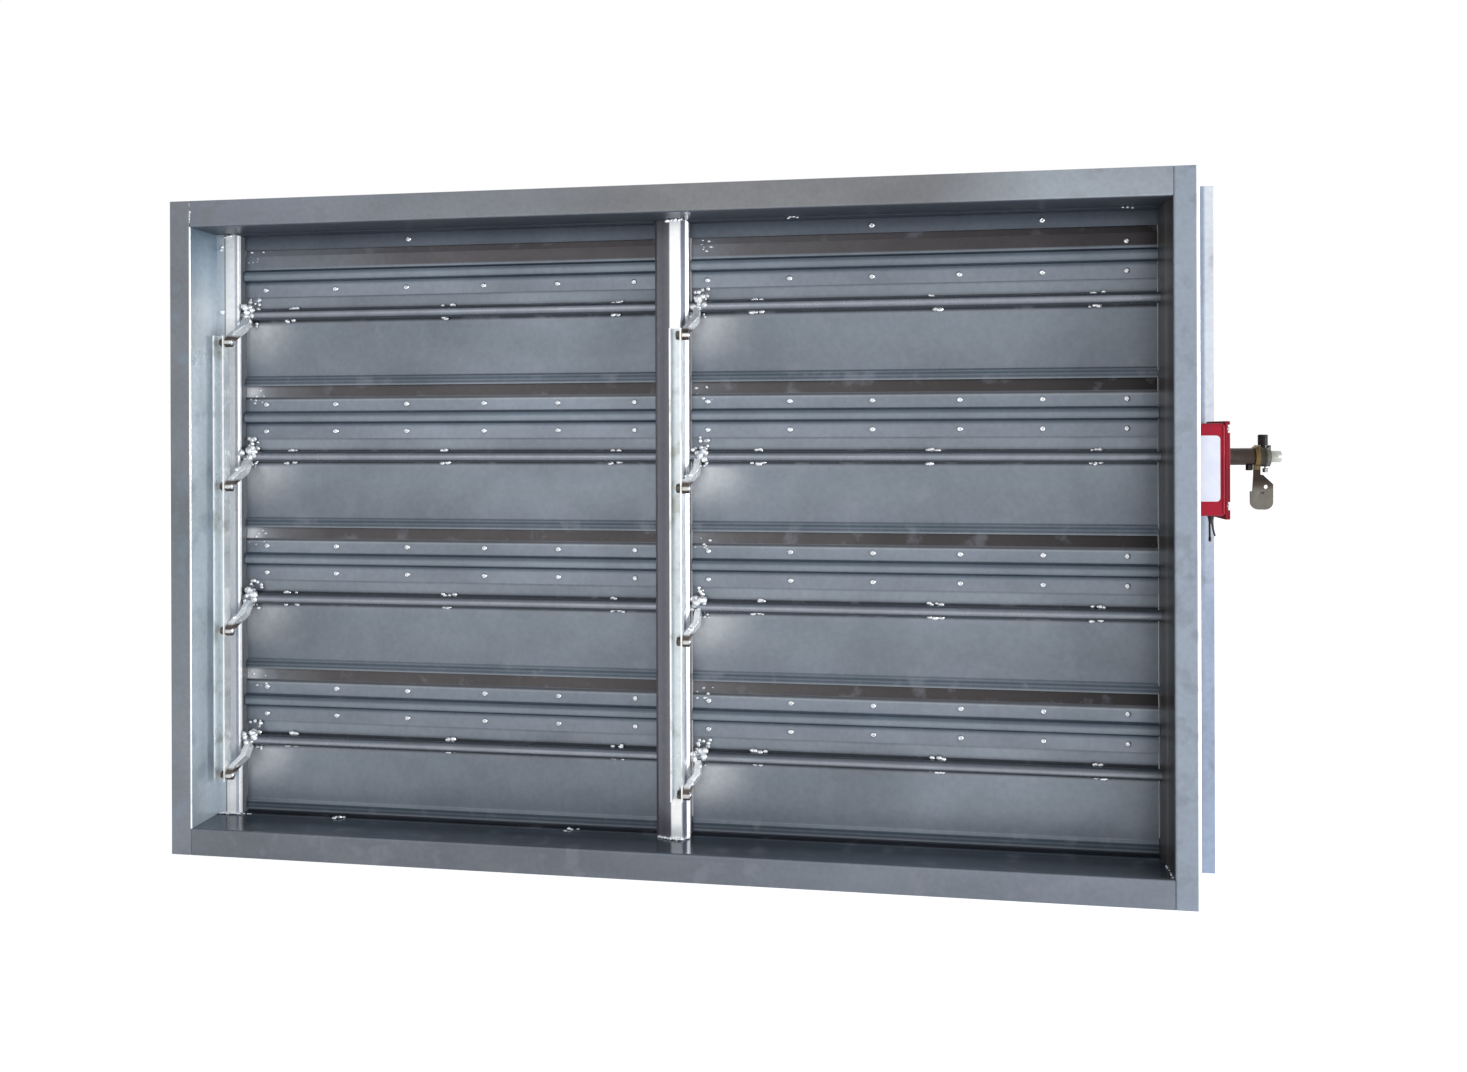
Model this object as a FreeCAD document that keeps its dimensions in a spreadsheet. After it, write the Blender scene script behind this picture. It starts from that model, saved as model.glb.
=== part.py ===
"""Smoke exhaust damper: two bays of four parallel blades in a folded duct frame, with a drive unit.

Frame of the model: X runs along the shafts to the drive side, Y runs through the duct from the front
face to the back, Z is up. X = 0 is the middle of the duct opening, Y = 0 the front flange face and
Z = 0 the lower edge of the frame. The blades are shown closed. All lengths are in millimetres.
"""
import FreeCAD, Part
import math
import os
import Sketcher

# Driving dimensions
SIZES = {
    # Duct frame
    "opening_width": 1250,
    "opening_height": 800,
    "frame_depth": 120,
    "frame_sheet": 2,
    "bend_radius": 1,
    "jamb_flange": 30,
    "rail_flange": 35,
    "edge_return": 10,
    "drive_flange": 77,
    # Columns that carry the shaft ends
    "column_sheet": 1.5,
    "column_tail": 25,
    "corner_facet": 3.5,
    "stile_width": 32,
    "stile_lead": 11,
    "stile_facet": 18,
    "stile_slope": 0.8,
    "stile_corner": 1.6,
    "mullion_width": 44,
    "mullion_lead": 23,
    "mullion_left_facet": 18.2,
    "mullion_flat": 13.3,
    "mullion_slope": 8,
    # Shafts and the tubes that carry them through the mullion
    "shaft_diameter": 14,
    "shaft_setback": 50,
    "shaft_tail": 9.5,
    "drive_reach": 140,
    "tip_slot_width": 3,
    "tip_slot_depth": 4,
    "tube_wall": 3,
    "running_gap": 0.15,
    # Blades
    "blade_sheet": 1.5,
    "blade_lap": 9,
    "edge_gap": 3.5,
    "end_gap": 1,
    "lip_height": 11,
    "joggle_height": 3,
    "joggle_depth": 2.5,
    "band_start": 82,
    "band_setback": 2,
    # Hat stiffeners
    "stiffener_sheet": 1.2,
    "stiffener_low": 25,
    "ridge_height": 54,
    "ridge_base": 18,
    "ridge_top": 12,
    "ridge_depth": 7,
    # Stop strips
    "stop_sheet": 1.5,
    "stop_leg": 20,
    "stop_gap": 0.5,
    "stop_setback": 1,
    # Cranks
    "crank_width": 12,
    "crank_sheet": 8,
    "crank_joggle": 10.5,
    "crank_clip": 3,
    "joggle_start": 25,
    "joggle_end": 42,
    "pin_forward": 32,
    "pin_drop": 40,
    "pin_diameter": 6,
    "pin_tail": 6,
    "pin_gap": 0.2,
    # Link bars
    "link_width": 16,
    "link_depth": 14,
    "link_sheet": 2,
    "link_gap": 0.5,
    "link_pin_depth": 6.5,
    "link_tail": 8,
    "link_head": 9,
    # Drive unit
    "base_sheet": 3,
    "base_margin": 5,
    "casing_lead": 40,
    "casing_width": 78,
    "casing_above": 40.5,
    "casing_below": 70,
    "casing_length": 60,
    "casing_corner": 4,
    "cover_thickness": 6,
    "cover_lip_top": 2.6,
    "cover_lip_low": 4.1,
    "notch_width": 8,
    "notch_height": 9.5,
    "notch_depth": 3,
    "notch_above": 34,
    "notch_below": 58,
    # Output sleeve, right through the drive unit
    "sleeve_diameter": 20.8,
    "sleeve_reach": 109,
    "sleeve_gap": 0.4,
    "sleeve_flat": 0.7,
    "clamp_fit": 0.05,
    "set_screw_inset": 5,
    "set_screw_flats": 7,
    "set_screw_head": 7,
    # Manual lever
    "hub_length": 17.5,
    "hub_diameter": 25,
    "hub_crown": 14,
    "crown_width": 18,
    "crown_inset": 3.5,
    "crown_notch": 3,
    "cheek_length": 6.5,
    "cheek_width": 12,
    "cheek_drop": 16,
    "knob_diameter": 11.2,
    "knob_height": 12.9,
    "knob_offset": 11,
    "knob_stem": 5,
    "knob_socket": 5,
    "socket_depth": 4,
    "lever_thickness": 3,
    "lever_width": 26.6,
    "lever_shoulder": 42,
    "lever_end": 64.4,
    "lever_neck": 8,
    "lever_overhang": 4,
    "lever_step": 2.8,
    "lever_throat": 22,
    "lever_corner": 33.5,
    "lever_round": 9.6,
    "thumb_hole": 5,
    "thumb_hole_drop": 36.7,
    "thumb_hole_edge": 8.3,
    "thumb_slot_width": 2.2,
    "thumb_slot_length": 5.4,
    "thumb_slot_drop": 43.9,
    "thumb_slot_depth": 1.6,
    "hub_flat": 0.5,
    "lever_bolt_flats": 7,
    "lever_bolt_head": 5,
    "lever_bolt_stem": 2,
    "lever_bolt_diameter": 4,
    "lever_bolt_inset": 3,
    # Leads
    "lead_diameter": 2.4,
    "lead_spacing": 2.7,
    "lead_inset": 9.5,
    "lead_depth": 25,
    "grommet_diameter": 8,
    "grommet_length": 3,
}

ROWS = (1, 2, 3, 4)
BAYS = ("left", "right")
DRIVE_ROW = 2
BOTTOM_ROW = ROWS[-1]

# How near two places of an outline count as one
TOUCH = 0.01

# Places worked out from the driving dimensions
HALF_OPENING = "Size.opening_width / 2"
SILL = "Size.rail_flange"
LINTEL = "(Size.rail_flange + Size.opening_height)"
FRAME_HEIGHT = "(Size.opening_height + 2 * Size.rail_flange)"
PITCH = f"((Size.opening_height - 2 * Size.edge_gap - Size.blade_lap) / {len(ROWS)})"
REACH = f"({PITCH} / 2)"
ROW_HEIGHT = {
    row: f"({SILL} + Size.edge_gap + {REACH} + {BOTTOM_ROW - row} * {PITCH})" for row in ROWS
}
DRIVE_HEIGHT = ROW_HEIGHT[DRIVE_ROW]
BAY = "((Size.opening_width - Size.stile_width - Size.mullion_width) / 2)"
BAY_START = {
    "left": f"(-{HALF_OPENING} + Size.stile_width)",
    "right": f"({HALF_OPENING} - {BAY})",
}
SHAFT_DEPTH = "(Size.frame_depth - Size.shaft_setback)"
SHAFT_HOLE = "(Size.shaft_diameter + 2 * Size.running_gap)"
BLADE_FRONT = "(Size.shaft_diameter / 2)"
CRANK_RADIUS = "sqrt(Size.pin_forward * Size.pin_forward + Size.pin_drop * Size.pin_drop)"
CRANK_ANGLE = "-atan2(Size.pin_forward; Size.pin_drop)"
DRIVE_FACE = f"({HALF_OPENING} + Size.frame_sheet)"
CASING_START = f"({DRIVE_FACE} + Size.base_sheet)"
CASING_FRONT = f"({SHAFT_DEPTH} - Size.casing_lead)"
CASING_TAIL = "(Size.casing_width - Size.casing_lead)"
SLEEVE_START = f"({DRIVE_FACE} + Size.sleeve_gap)"
SLEEVE_BORE = "(Size.sleeve_diameter + 2 * Size.sleeve_gap)"
HUB_START = f"({HALF_OPENING} + Size.sleeve_reach)"
LEAD_X = f"({CASING_START} + Size.casing_length - Size.lead_inset)"
LEAD_Y = f"({CASING_FRONT} + Size.lead_depth)"
LEAD_START = f"({DRIVE_HEIGHT} - Size.casing_below - Size.grommet_length)"

# Routes of the two leads from the grommet, chosen by eye from the photograph
LONG_LEAD = (
    (0, 0, 0),
    (0, 0, -11),
    (-3.6, -14, -27),
)
SHORT_LEAD = (
    (0, 0, 0),
    (0, 0, -11.5),
    (8, 17, -23.5),
)
LEAD_ARC = 0.45

os.makedirs("parts", exist_ok=True)
doc = FreeCAD.newDocument("SmokeExhaustDamper")
sheet = doc.addObject("Spreadsheet::Sheet", "Size")
sub_parts = []


def fill_sheet():
    """Write every driving dimension into the sheet under its own alias."""
    for line, (alias, number) in enumerate(SIZES.items(), start=1):
        sheet.set(f"A{line}", alias)
        sheet.set(f"B{line}", str(number))
        sheet.setAlias(f"B{line}", alias)
    doc.recompute()


def value(expression):
    """The number that an expression of the sheet gives."""
    return float(sheet.evalExpression(expression))


def place(part, x, y, z):
    """Bind where a sub-part's own origin lies."""
    for axis, expression in zip("xyz", (x, y, z)):
        part.setExpression(f"Placement.Base.{axis}", expression)


def keep(part, label):
    """Give a sub-part the label that names its file."""
    part.Label = label
    sub_parts.append(part)
    return part


def new_body(label):
    """A body that may hold a group of like solids."""
    body = doc.addObject("PartDesign::Body", label)
    body.AllowCompound = True
    return keep(body, label)


def origin_feature(body, role):
    """One of the body's own origin planes or axes."""
    return next(item for item in body.Origin.OriginFeatures if item.Role == role)


def new_sketch(body, role, offset="0"):
    """A sketch on one of the body's planes, moved along its normal by an offset."""
    sketch = body.newObject("Sketcher::SketchObject", "Sketch")
    sketch.AttachmentSupport = [(origin_feature(body, role), "")]
    sketch.MapMode = "FlatFace"
    sketch.setExpression("AttachmentOffset.Base.z", offset)
    return sketch


def pin_point(sketch, geometry, position, spot):
    """Hold a point of the sketch at two expressions."""
    for kind, expression in zip(("DistanceX", "DistanceY"), spot):
        held = Sketcher.Constraint(kind, -1, 1, geometry, position, value(expression))
        number = sketch.addConstraint(held)
        sketch.setExpression(f"Constraints[{number}]", expression)


def outline(sketch, spots):
    """A closed outline of straight lines through the spots."""
    corners = [FreeCAD.Vector(value(x), value(y), 0) for x, y in spots]
    first = sketch.GeometryCount
    count = len(corners)
    for start, end in zip(corners, corners[1:] + corners[:1]):
        sketch.addGeometry(Part.LineSegment(start, end), False)
    joins = [
        Sketcher.Constraint("Coincident", first + number, 2, first + (number + 1) % count, 1)
        for number in range(count)
    ]
    sketch.addConstraint(joins)
    for number, spot in enumerate(spots):
        pin_point(sketch, first + number, 1, spot)
    return sketch


def box_outline(sketch, low_x, high_x, low_y, high_y):
    """A rectangle between four expressions."""
    return outline(sketch, [(low_x, low_y), (high_x, low_y), (high_x, high_y), (low_x, high_y)])


def circle(sketch, spot, diameter):
    """A full circle about a spot."""
    centre = FreeCAD.Vector(value(spot[0]), value(spot[1]), 0)
    up = FreeCAD.Vector(0, 0, 1)
    geometry = sketch.addGeometry(Part.Circle(centre, up, value(diameter) / 2), False)
    pin_point(sketch, geometry, 3, spot)
    number = sketch.addConstraint(Sketcher.Constraint("Diameter", geometry, value(diameter)))
    sketch.setExpression(f"Constraints[{number}]", diameter)
    return sketch


def hexagon(sketch, spot, flats, upright=False):
    """A hexagon about a spot, measured across its flats, with a corner to the side or upright."""
    corners = []
    for number in range(6):
        turn = math.pi / 3 * number + (math.pi / 2 if upright else 0)
        along = f"{spot[0]} + ({flats}) / sqrt(3) * {math.cos(turn):.6f}"
        across = f"{spot[1]} + ({flats}) / sqrt(3) * {math.sin(turn):.6f}"
        corners.append((along, across))
    return outline(sketch, corners)


def pad(body, sketch, length):
    """Add material along the sketch's normal."""
    feature = body.newObject("PartDesign::Pad", "Pad")
    feature.Profile = sketch
    feature.setExpression("Length", length)
    doc.recompute()
    return feature


def cut(body, sketch, length=None, along_normal=False):
    """Take material away behind the sketch, or in front of it, to a length or right through."""
    before = body.Shape.Volume
    feature = body.newObject("PartDesign::Pocket", "Pocket")
    feature.Profile = sketch
    feature.Reversed = along_normal
    if length is None:
        feature.Type = "ThroughAll"
    else:
        feature.setExpression("Length", length)
    doc.recompute()
    if body.Shape.Volume >= before:
        raise RuntimeError(f"a pocket of {body.Label} cuts nothing")
    return feature


def repeat(body, features, axis_role, spacing, count):
    """Repeat features along one of the body's axes."""
    pattern = body.newObject("PartDesign::LinearPattern", "Pattern")
    pattern.Originals = features
    pattern.Direction = (origin_feature(body, axis_role), [""])
    pattern.Mode = "Spacing"
    pattern.setExpression("Offset", spacing)
    pattern.Occurrences = count
    body.Tip = pattern
    doc.recompute()
    return pattern


def edges_along(shape, axis, spots):
    """Names of the straight edges that run along an axis through the given spots."""
    others = [letter for letter in "xyz" if letter != axis]
    wanted = [[value(expression) for expression in spot] for spot in spots]
    names = []
    for number, edge in enumerate(shape.Edges, start=1):
        ends = [[getattr(vertex.Point, letter) for letter in others] for vertex in edge.Vertexes]
        if len(ends) != 2:
            continue
        for spot in wanted:
            if all(abs(near - far) < TOUCH for end in ends for near, far in zip(end, spot)):
                names.append(f"Edge{number}")
    if len(names) < len(wanted):
        raise RuntimeError("an edge to round is missing")
    return names


def round_edges(body, feature, axis, spots, radius):
    """Round the edges that run along an axis through the given spots."""
    rounding = body.newObject("PartDesign::Fillet", "Fillet")
    rounding.Base = (feature, edges_along(feature.Shape, axis, spots))
    rounding.setExpression("Radius", radius)
    doc.recompute()
    return rounding


def hollow(body, feature, wall):
    """Leave a wall inside the outline of a column, open at its foot and its top."""
    names = []
    for number, face in enumerate(feature.Shape.Faces, start=1):
        heights = [vertex.Point.z for vertex in face.Vertexes]
        if max(heights) - min(heights) < TOUCH:
            names.append(f"Face{number}")
    shell = body.newObject("PartDesign::Thickness", "Thickness")
    shell.Base = (feature, names)
    shell.setExpression("Value", wall)
    shell.Reversed = True
    shell.Join = 1
    doc.recompute()
    return shell


def shaft_holes(body, offset, spot, lining=()):
    """Running holes of the four rows, from the bottom one up, through the walls past an offset."""
    hole = new_sketch(body, "YZ_Plane", offset)
    circle(hole, spot, SHAFT_HOLE)
    drilled = cut(body, hole, along_normal=True)
    repeat(body, [*lining, drilled], "Z_Axis", PITCH, len(ROWS))


def make_jamb(label, side, rear_flange):
    """A frame upright: web at the opening, flanges turned away from it, front edge returned."""
    out = f"{side} * "
    tip = f"{out}(Size.jamb_flange - Size.frame_sheet)"
    skin = f"{out}Size.frame_sheet"
    back = "Size.frame_depth"
    inner_back = "Size.frame_depth - Size.frame_sheet"
    body = new_body(label)
    profile = new_sketch(body, "XY_Plane")
    outline(profile, [
        ("0", "0"),
        ("0", back),
        (f"{out}{rear_flange}", back),
        (f"{out}{rear_flange}", inner_back),
        (skin, inner_back),
        (skin, "Size.frame_sheet"),
        (tip, "Size.frame_sheet"),
        (tip, "Size.edge_return"),
        (f"{out}Size.jamb_flange", "Size.edge_return"),
        (f"{out}Size.jamb_flange", "0"),
    ])
    channel = pad(body, profile, FRAME_HEIGHT)
    outer = [("0", "0"), ("0", back), (f"{out}Size.jamb_flange", "0")]
    inner = [(skin, inner_back), (skin, "Size.frame_sheet"), (tip, "Size.frame_sheet")]
    bent = round_edges(body, channel, "z", outer, "Size.bend_radius + Size.frame_sheet")
    round_edges(body, bent, "z", inner, "Size.bend_radius")
    place(body, f"{out}{HALF_OPENING}", "0", "0")
    return body


def make_rail(label, side, web_height):
    """A frame cross member between the jambs, with its flanges turned away from the opening."""
    up = f"{side} * "
    skin = f"{up}Size.frame_sheet"
    flange = f"{up}Size.rail_flange"
    inner_back = "Size.frame_depth - Size.frame_sheet"
    body = new_body(label)
    profile = new_sketch(body, "YZ_Plane")
    outline(profile, [
        ("0", "0"),
        ("Size.frame_depth", "0"),
        ("Size.frame_depth", flange),
        (inner_back, flange),
        (inner_back, skin),
        ("Size.frame_sheet", skin),
        ("Size.frame_sheet", flange),
        ("0", flange),
    ])
    channel = pad(body, profile, "Size.opening_width")
    outer = [("0", "0"), ("Size.frame_depth", "0")]
    inner = [("Size.frame_sheet", skin), (inner_back, skin)]
    bent = round_edges(body, channel, "x", outer, "Size.bend_radius + Size.frame_sheet")
    round_edges(body, bent, "x", inner, "Size.bend_radius")
    place(body, f"-{HALF_OPENING}", "0", web_height)


def make_left_stile():
    """The folded column at the far end of the shafts."""
    front = "-Size.stile_lead"
    corner = f"{front} + Size.stile_slope"
    body = new_body("left_stile")
    profile = new_sketch(body, "XY_Plane")
    outline(profile, [
        ("0", front),
        ("Size.stile_facet", front),
        ("Size.stile_width - Size.stile_corner", corner),
        ("Size.stile_width", f"{corner} + Size.stile_corner"),
        ("Size.stile_width", "Size.column_tail"),
        ("0", "Size.column_tail"),
    ])
    column = pad(body, profile, "Size.opening_height")
    hollow(body, column, "Size.column_sheet")
    shaft_holes(body, "Size.stile_width / 2", ("0", f"{ROW_HEIGHT[BOTTOM_ROW]} - {SILL}"))
    place(body, f"-{HALF_OPENING}", SHAFT_DEPTH, SILL)


def make_centre_mullion():
    """The folded column between the bays, faceted to the front, with a tube through it for each row."""
    front = "-Size.mullion_lead"
    shoulder = f"{front} + Size.mullion_slope"
    side = f"{shoulder} + Size.corner_facet"
    flat_start = "Size.corner_facet + Size.mullion_left_facet"
    body = new_body("centre_mullion")
    profile = new_sketch(body, "XY_Plane")
    outline(profile, [
        ("0", side),
        ("Size.corner_facet", shoulder),
        (flat_start, front),
        (f"{flat_start} + Size.mullion_flat", front),
        ("Size.mullion_width - Size.corner_facet", shoulder),
        ("Size.mullion_width", side),
        ("Size.mullion_width", "Size.column_tail"),
        ("0", "Size.column_tail"),
    ])
    column = pad(body, profile, "Size.opening_height")
    hollow(body, column, "Size.column_sheet")
    spot = ("0", f"{ROW_HEIGHT[BOTTOM_ROW]} - {SILL}")
    lining = new_sketch(body, "YZ_Plane")
    circle(lining, spot, f"{SHAFT_HOLE} + 2 * Size.tube_wall")
    tube = pad(body, lining, "Size.mullion_width")
    shaft_holes(body, "0", spot, [tube])
    place(body, f"{BAY_START['right']} - Size.mullion_width", SHAFT_DEPTH, SILL)


def make_stop_strips():
    """Folded angles that the first blade's top edge and the last blade's lip close against."""
    top_back = f"{SHAFT_DEPTH} + {BLADE_FRONT} - Size.stop_setback"
    low_front = f"{SHAFT_DEPTH} + {BLADE_FRONT} + Size.blade_sheet + Size.stop_gap"
    strips = {
        "top_stop_strip": (LINTEL, -1, top_back, -1),
        "bottom_stop_strip": (SILL, 1, low_front, 1),
    }
    for label, (web, up, face, away) in strips.items():
        body = new_body(label)
        for bay in BAYS:
            profile = new_sketch(body, "YZ_Plane", BAY_START[bay])
            outline(profile, [
                ("0", "0"),
                ("0", f"{up} * Size.stop_leg"),
                (f"{away} * Size.stop_sheet", f"{up} * Size.stop_leg"),
                (f"{away} * Size.stop_sheet", f"{up} * Size.stop_sheet"),
                (f"{away} * Size.stop_leg", f"{up} * Size.stop_sheet"),
                (f"{away} * Size.stop_leg", "0"),
            ])
            pad(body, profile, BAY)
        place(body, "0", face, web)


def make_blade(bay, row):
    """A blade sheet: set-back top band, flat panel and a lower lip joggled to the front."""
    lip = f"{BLADE_FRONT} - Size.joggle_depth"
    lip_top = f"-{REACH} + Size.lip_height"
    front = [
        (lip, f"-{REACH}"),
        (lip, lip_top),
        (BLADE_FRONT, f"{lip_top} + Size.joggle_height"),
        (BLADE_FRONT, "Size.band_start"),
        (f"{BLADE_FRONT} + Size.band_setback", f"{REACH} + Size.blade_lap"),
    ]
    back = [(f"{depth} + Size.blade_sheet", height) for depth, height in reversed(front)]
    body = new_body(f"{bay}_blade_{row}")
    profile = new_sketch(body, "YZ_Plane")
    outline(profile, front + back)
    pad(body, profile, f"{BAY} - 2 * Size.end_gap")
    place(body, f"{BAY_START[bay]} + Size.end_gap", SHAFT_DEPTH, ROW_HEIGHT[row])


def make_stiffener(bay, row):
    """A hat strip on the front of the blade, with its ridge to the front."""
    skin = "Size.stiffener_sheet"
    flange = f"{BLADE_FRONT} - {skin}"
    crest = f"{BLADE_FRONT} - Size.ridge_depth"
    centre = "Size.ridge_height"
    base = "Size.ridge_base / 2"
    top = "Size.ridge_top / 2"
    body = new_body(f"{bay}_stiffener_{row}")
    profile = new_sketch(body, "YZ_Plane")
    outline(profile, [
        (flange, "Size.stiffener_low"),
        (flange, f"{centre} - {base}"),
        (crest, f"{centre} - {top}"),
        (crest, f"{centre} + {top}"),
        (flange, f"{centre} + {base}"),
        (flange, "Size.band_start"),
        (BLADE_FRONT, "Size.band_start"),
        (BLADE_FRONT, f"{centre} + {base} - {skin}"),
        (f"{crest} + {skin}", f"{centre} + {top} - {skin}"),
        (f"{crest} + {skin}", f"{centre} - {top} + {skin}"),
        (BLADE_FRONT, f"{centre} - {base} + {skin}"),
        (BLADE_FRONT, "Size.stiffener_low"),
    ])
    pad(body, profile, f"{BAY} - 2 * Size.end_gap")
    place(body, f"{BAY_START[bay]} + Size.end_gap", SHAFT_DEPTH, ROW_HEIGHT[row])


def make_shaft(bay, row):
    """A plain shaft of one bay, carried by the columns or the jamb at either end."""
    shaft = doc.addObject("Part::Cylinder", f"{bay}_shaft_{row}")
    keep(shaft, f"{bay}_shaft_{row}")
    shaft.Placement.Rotation = FreeCAD.Rotation(FreeCAD.Vector(0, 1, 0), 90)
    shaft.setExpression("Radius", "Size.shaft_diameter / 2")
    shaft.setExpression("Height", f"{BAY} + 2 * Size.shaft_tail")
    place(shaft, f"{BAY_START[bay]} - Size.shaft_tail", SHAFT_DEPTH, ROW_HEIGHT[row])


def make_drive_shaft():
    """The long shaft of the driven row, through both bays and the drive unit, slotted at its tip."""
    start = f"({BAY_START['left']} - Size.shaft_tail)"
    length = f"{HALF_OPENING} + Size.drive_reach - {start}"
    body = new_body("drive_shaft")
    section = new_sketch(body, "YZ_Plane")
    circle(section, ("0", "0"), "Size.shaft_diameter")
    pad(body, section, length)
    slot = new_sketch(body, "YZ_Plane", length)
    half = "Size.tip_slot_width / 2"
    box_outline(slot, "-Size.shaft_diameter", "Size.shaft_diameter", f"-{half}", half)
    cut(body, slot, "Size.tip_slot_depth")
    place(body, start, SHAFT_DEPTH, DRIVE_HEIGHT)


def make_crank(bay, row):
    """A flat bar welded to the shaft, joggled sideways to the pin that drives the link bar."""
    half = "Size.crank_sheet / 2"
    near = f"Size.crank_joggle - {half}"
    far = f"Size.crank_joggle + {half}"
    root = f"-{BLADE_FRONT}"
    end = f"-{CRANK_RADIUS} - Size.crank_width / 2"
    body = new_body(f"{bay}_crank_{row}")
    profile = new_sketch(body, "XZ_Plane", "-Size.crank_width / 2")
    outline(profile, [
        (near, root),
        (near, "-Size.joggle_start"),
        (f"-{half}", "-Size.joggle_end"),
        (f"-{half}", end),
        (half, end),
        (half, "-Size.joggle_end"),
        (far, "-Size.joggle_start"),
        (far, root),
    ])
    bar = pad(body, profile, "Size.crank_width")
    tip = [(f"{side}Size.crank_width / 2", end) for side in ("", "-")]
    clip = body.newObject("PartDesign::Chamfer", "Chamfer")
    clip.Base = (bar, edges_along(bar.Shape, "x", tip))
    clip.setExpression("Size", "Size.crank_clip")
    pin = new_sketch(body, "YZ_Plane", f"-{half} - Size.link_gap - Size.link_sheet - Size.pin_tail")
    circle(pin, ("0", f"-{CRANK_RADIUS}"), "Size.pin_diameter")
    pad(body, pin, "Size.pin_tail + Size.link_sheet + Size.link_gap")
    body.Placement.Rotation = FreeCAD.Rotation(FreeCAD.Vector(1, 0, 0), value(CRANK_ANGLE))
    body.setExpression("Placement.Rotation.Angle", CRANK_ANGLE)
    place(body, BAY_START[bay], SHAFT_DEPTH, ROW_HEIGHT[row])


def make_link_bar(bay):
    """A channel, open to the front, that ties the four cranks of a bay together."""
    skin = "Size.link_sheet"
    wide = "Size.link_width"
    back = "Size.link_depth"
    eye_face = "Size.crank_sheet / 2 + Size.link_gap"
    body = new_body(f"{bay}_link_bar")
    profile = new_sketch(body, "XY_Plane")
    outline(profile, [
        (f"-{wide}", "0"),
        (f"-{wide} + {skin}", "0"),
        (f"-{wide} + {skin}", f"{back} - {skin}"),
        (f"-{skin}", f"{back} - {skin}"),
        (f"-{skin}", "0"),
        ("0", "0"),
        ("0", back),
        (f"-{wide}", back),
    ])
    length = f"{len(ROWS) - 1} * {PITCH} + Size.link_tail + Size.link_head"
    pad(body, profile, length)
    hole = new_sketch(body, "YZ_Plane")
    spot = ("Size.link_pin_depth", "Size.link_tail")
    circle(hole, spot, "Size.pin_diameter + 2 * Size.pin_gap")
    drilled = cut(body, hole, f"{skin} + Size.link_gap")
    repeat(body, [drilled], "Z_Axis", PITCH, len(ROWS))
    front_edge = f"{SHAFT_DEPTH} - Size.pin_forward - Size.link_pin_depth"
    low_end = f"{ROW_HEIGHT[BOTTOM_ROW]} - Size.pin_drop - Size.link_tail"
    place(body, f"{BAY_START[bay]} - ({eye_face})", front_edge, low_end)


def drive_slab(label, depths, heights, thickness, corner=None):
    """A slab of the drive unit about the shaft, bored for the output sleeve, its corners round."""
    body = new_body(label)
    shape = new_sketch(body, "YZ_Plane")
    box_outline(shape, *depths, *heights)
    circle(shape, ("0", "0"), SLEEVE_BORE)
    slab = pad(body, shape, thickness)
    if corner:
        spots = [(depth, height) for depth in depths for height in heights]
        round_edges(body, slab, "x", spots, corner)
    return body


def make_actuator_base():
    """The mounting plate between the drive-side jamb and the casing."""
    depths = ("-Size.casing_lead - Size.base_margin", f"{CASING_TAIL} + Size.base_margin")
    heights = ("-Size.casing_below - Size.base_margin", "Size.casing_above + Size.base_margin")
    body = drive_slab("actuator_base", depths, heights, "Size.base_sheet")
    place(body, DRIVE_FACE, SHAFT_DEPTH, DRIVE_HEIGHT)


def make_actuator_casing():
    """The moulded box of the drive unit."""
    depths = ("-Size.casing_lead", CASING_TAIL)
    heights = ("-Size.casing_below", "Size.casing_above")
    body = drive_slab("actuator_casing", depths, heights, "Size.casing_length", "Size.casing_corner")
    place(body, CASING_START, SHAFT_DEPTH, DRIVE_HEIGHT)


def make_actuator_cover():
    """The cover plate, which stands over the casing at top and bottom and is notched at its screws."""
    depths = ("-Size.casing_lead", CASING_TAIL)
    heights = ("-Size.casing_below - Size.cover_lip_low", "Size.casing_above + Size.cover_lip_top")
    body = drive_slab("actuator_cover", depths, heights, "Size.cover_thickness", "Size.cover_lip_top")
    notches = new_sketch(body, "YZ_Plane", "Size.cover_thickness")
    for edge, inner in zip(depths, ("Size.notch_width", "-Size.notch_width")):
        for height in ("Size.notch_above", "-Size.notch_below"):
            low = f"{height} - Size.notch_height / 2"
            box_outline(notches, edge, f"{edge} + {inner}", low, f"{low} + Size.notch_height")
    cut(body, notches, "Size.notch_depth")
    place(body, f"{CASING_START} + Size.casing_length", SHAFT_DEPTH, DRIVE_HEIGHT)


def make_output_sleeve():
    """The hollow output of the drive unit, clamped on the shaft, with a flat below for its screw."""
    length = f"({HUB_START} - {SLEEVE_START})"
    body = new_body("output_sleeve")
    section = new_sketch(body, "YZ_Plane")
    circle(section, ("0", "0"), "Size.sleeve_diameter")
    circle(section, ("0", "0"), "Size.shaft_diameter + 2 * Size.clamp_fit")
    pad(body, section, length)
    flat = new_sketch(body, "YZ_Plane", length)
    floor = "-(Size.sleeve_diameter / 2 - Size.sleeve_flat)"
    box_outline(flat, "-Size.sleeve_diameter", "Size.sleeve_diameter", "-Size.sleeve_diameter", floor)
    cut(body, flat, "2 * Size.set_screw_inset")
    place(body, SLEEVE_START, SHAFT_DEPTH, DRIVE_HEIGHT)


def make_sleeve_set_screw():
    """The head of the screw under the sleeve's outer end that holds it on the shaft."""
    body = new_body("sleeve_set_screw")
    head = new_sketch(body, "XY_Plane", "-Size.set_screw_head")
    hexagon(head, ("0", "0"), "Size.set_screw_flats")
    pad(body, head, "Size.set_screw_head")
    start = f"{HUB_START} - Size.set_screw_inset"
    seat = f"{DRIVE_HEIGHT} - Size.sleeve_diameter / 2 + Size.sleeve_flat"
    place(body, start, SHAFT_DEPTH, seat)


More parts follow.
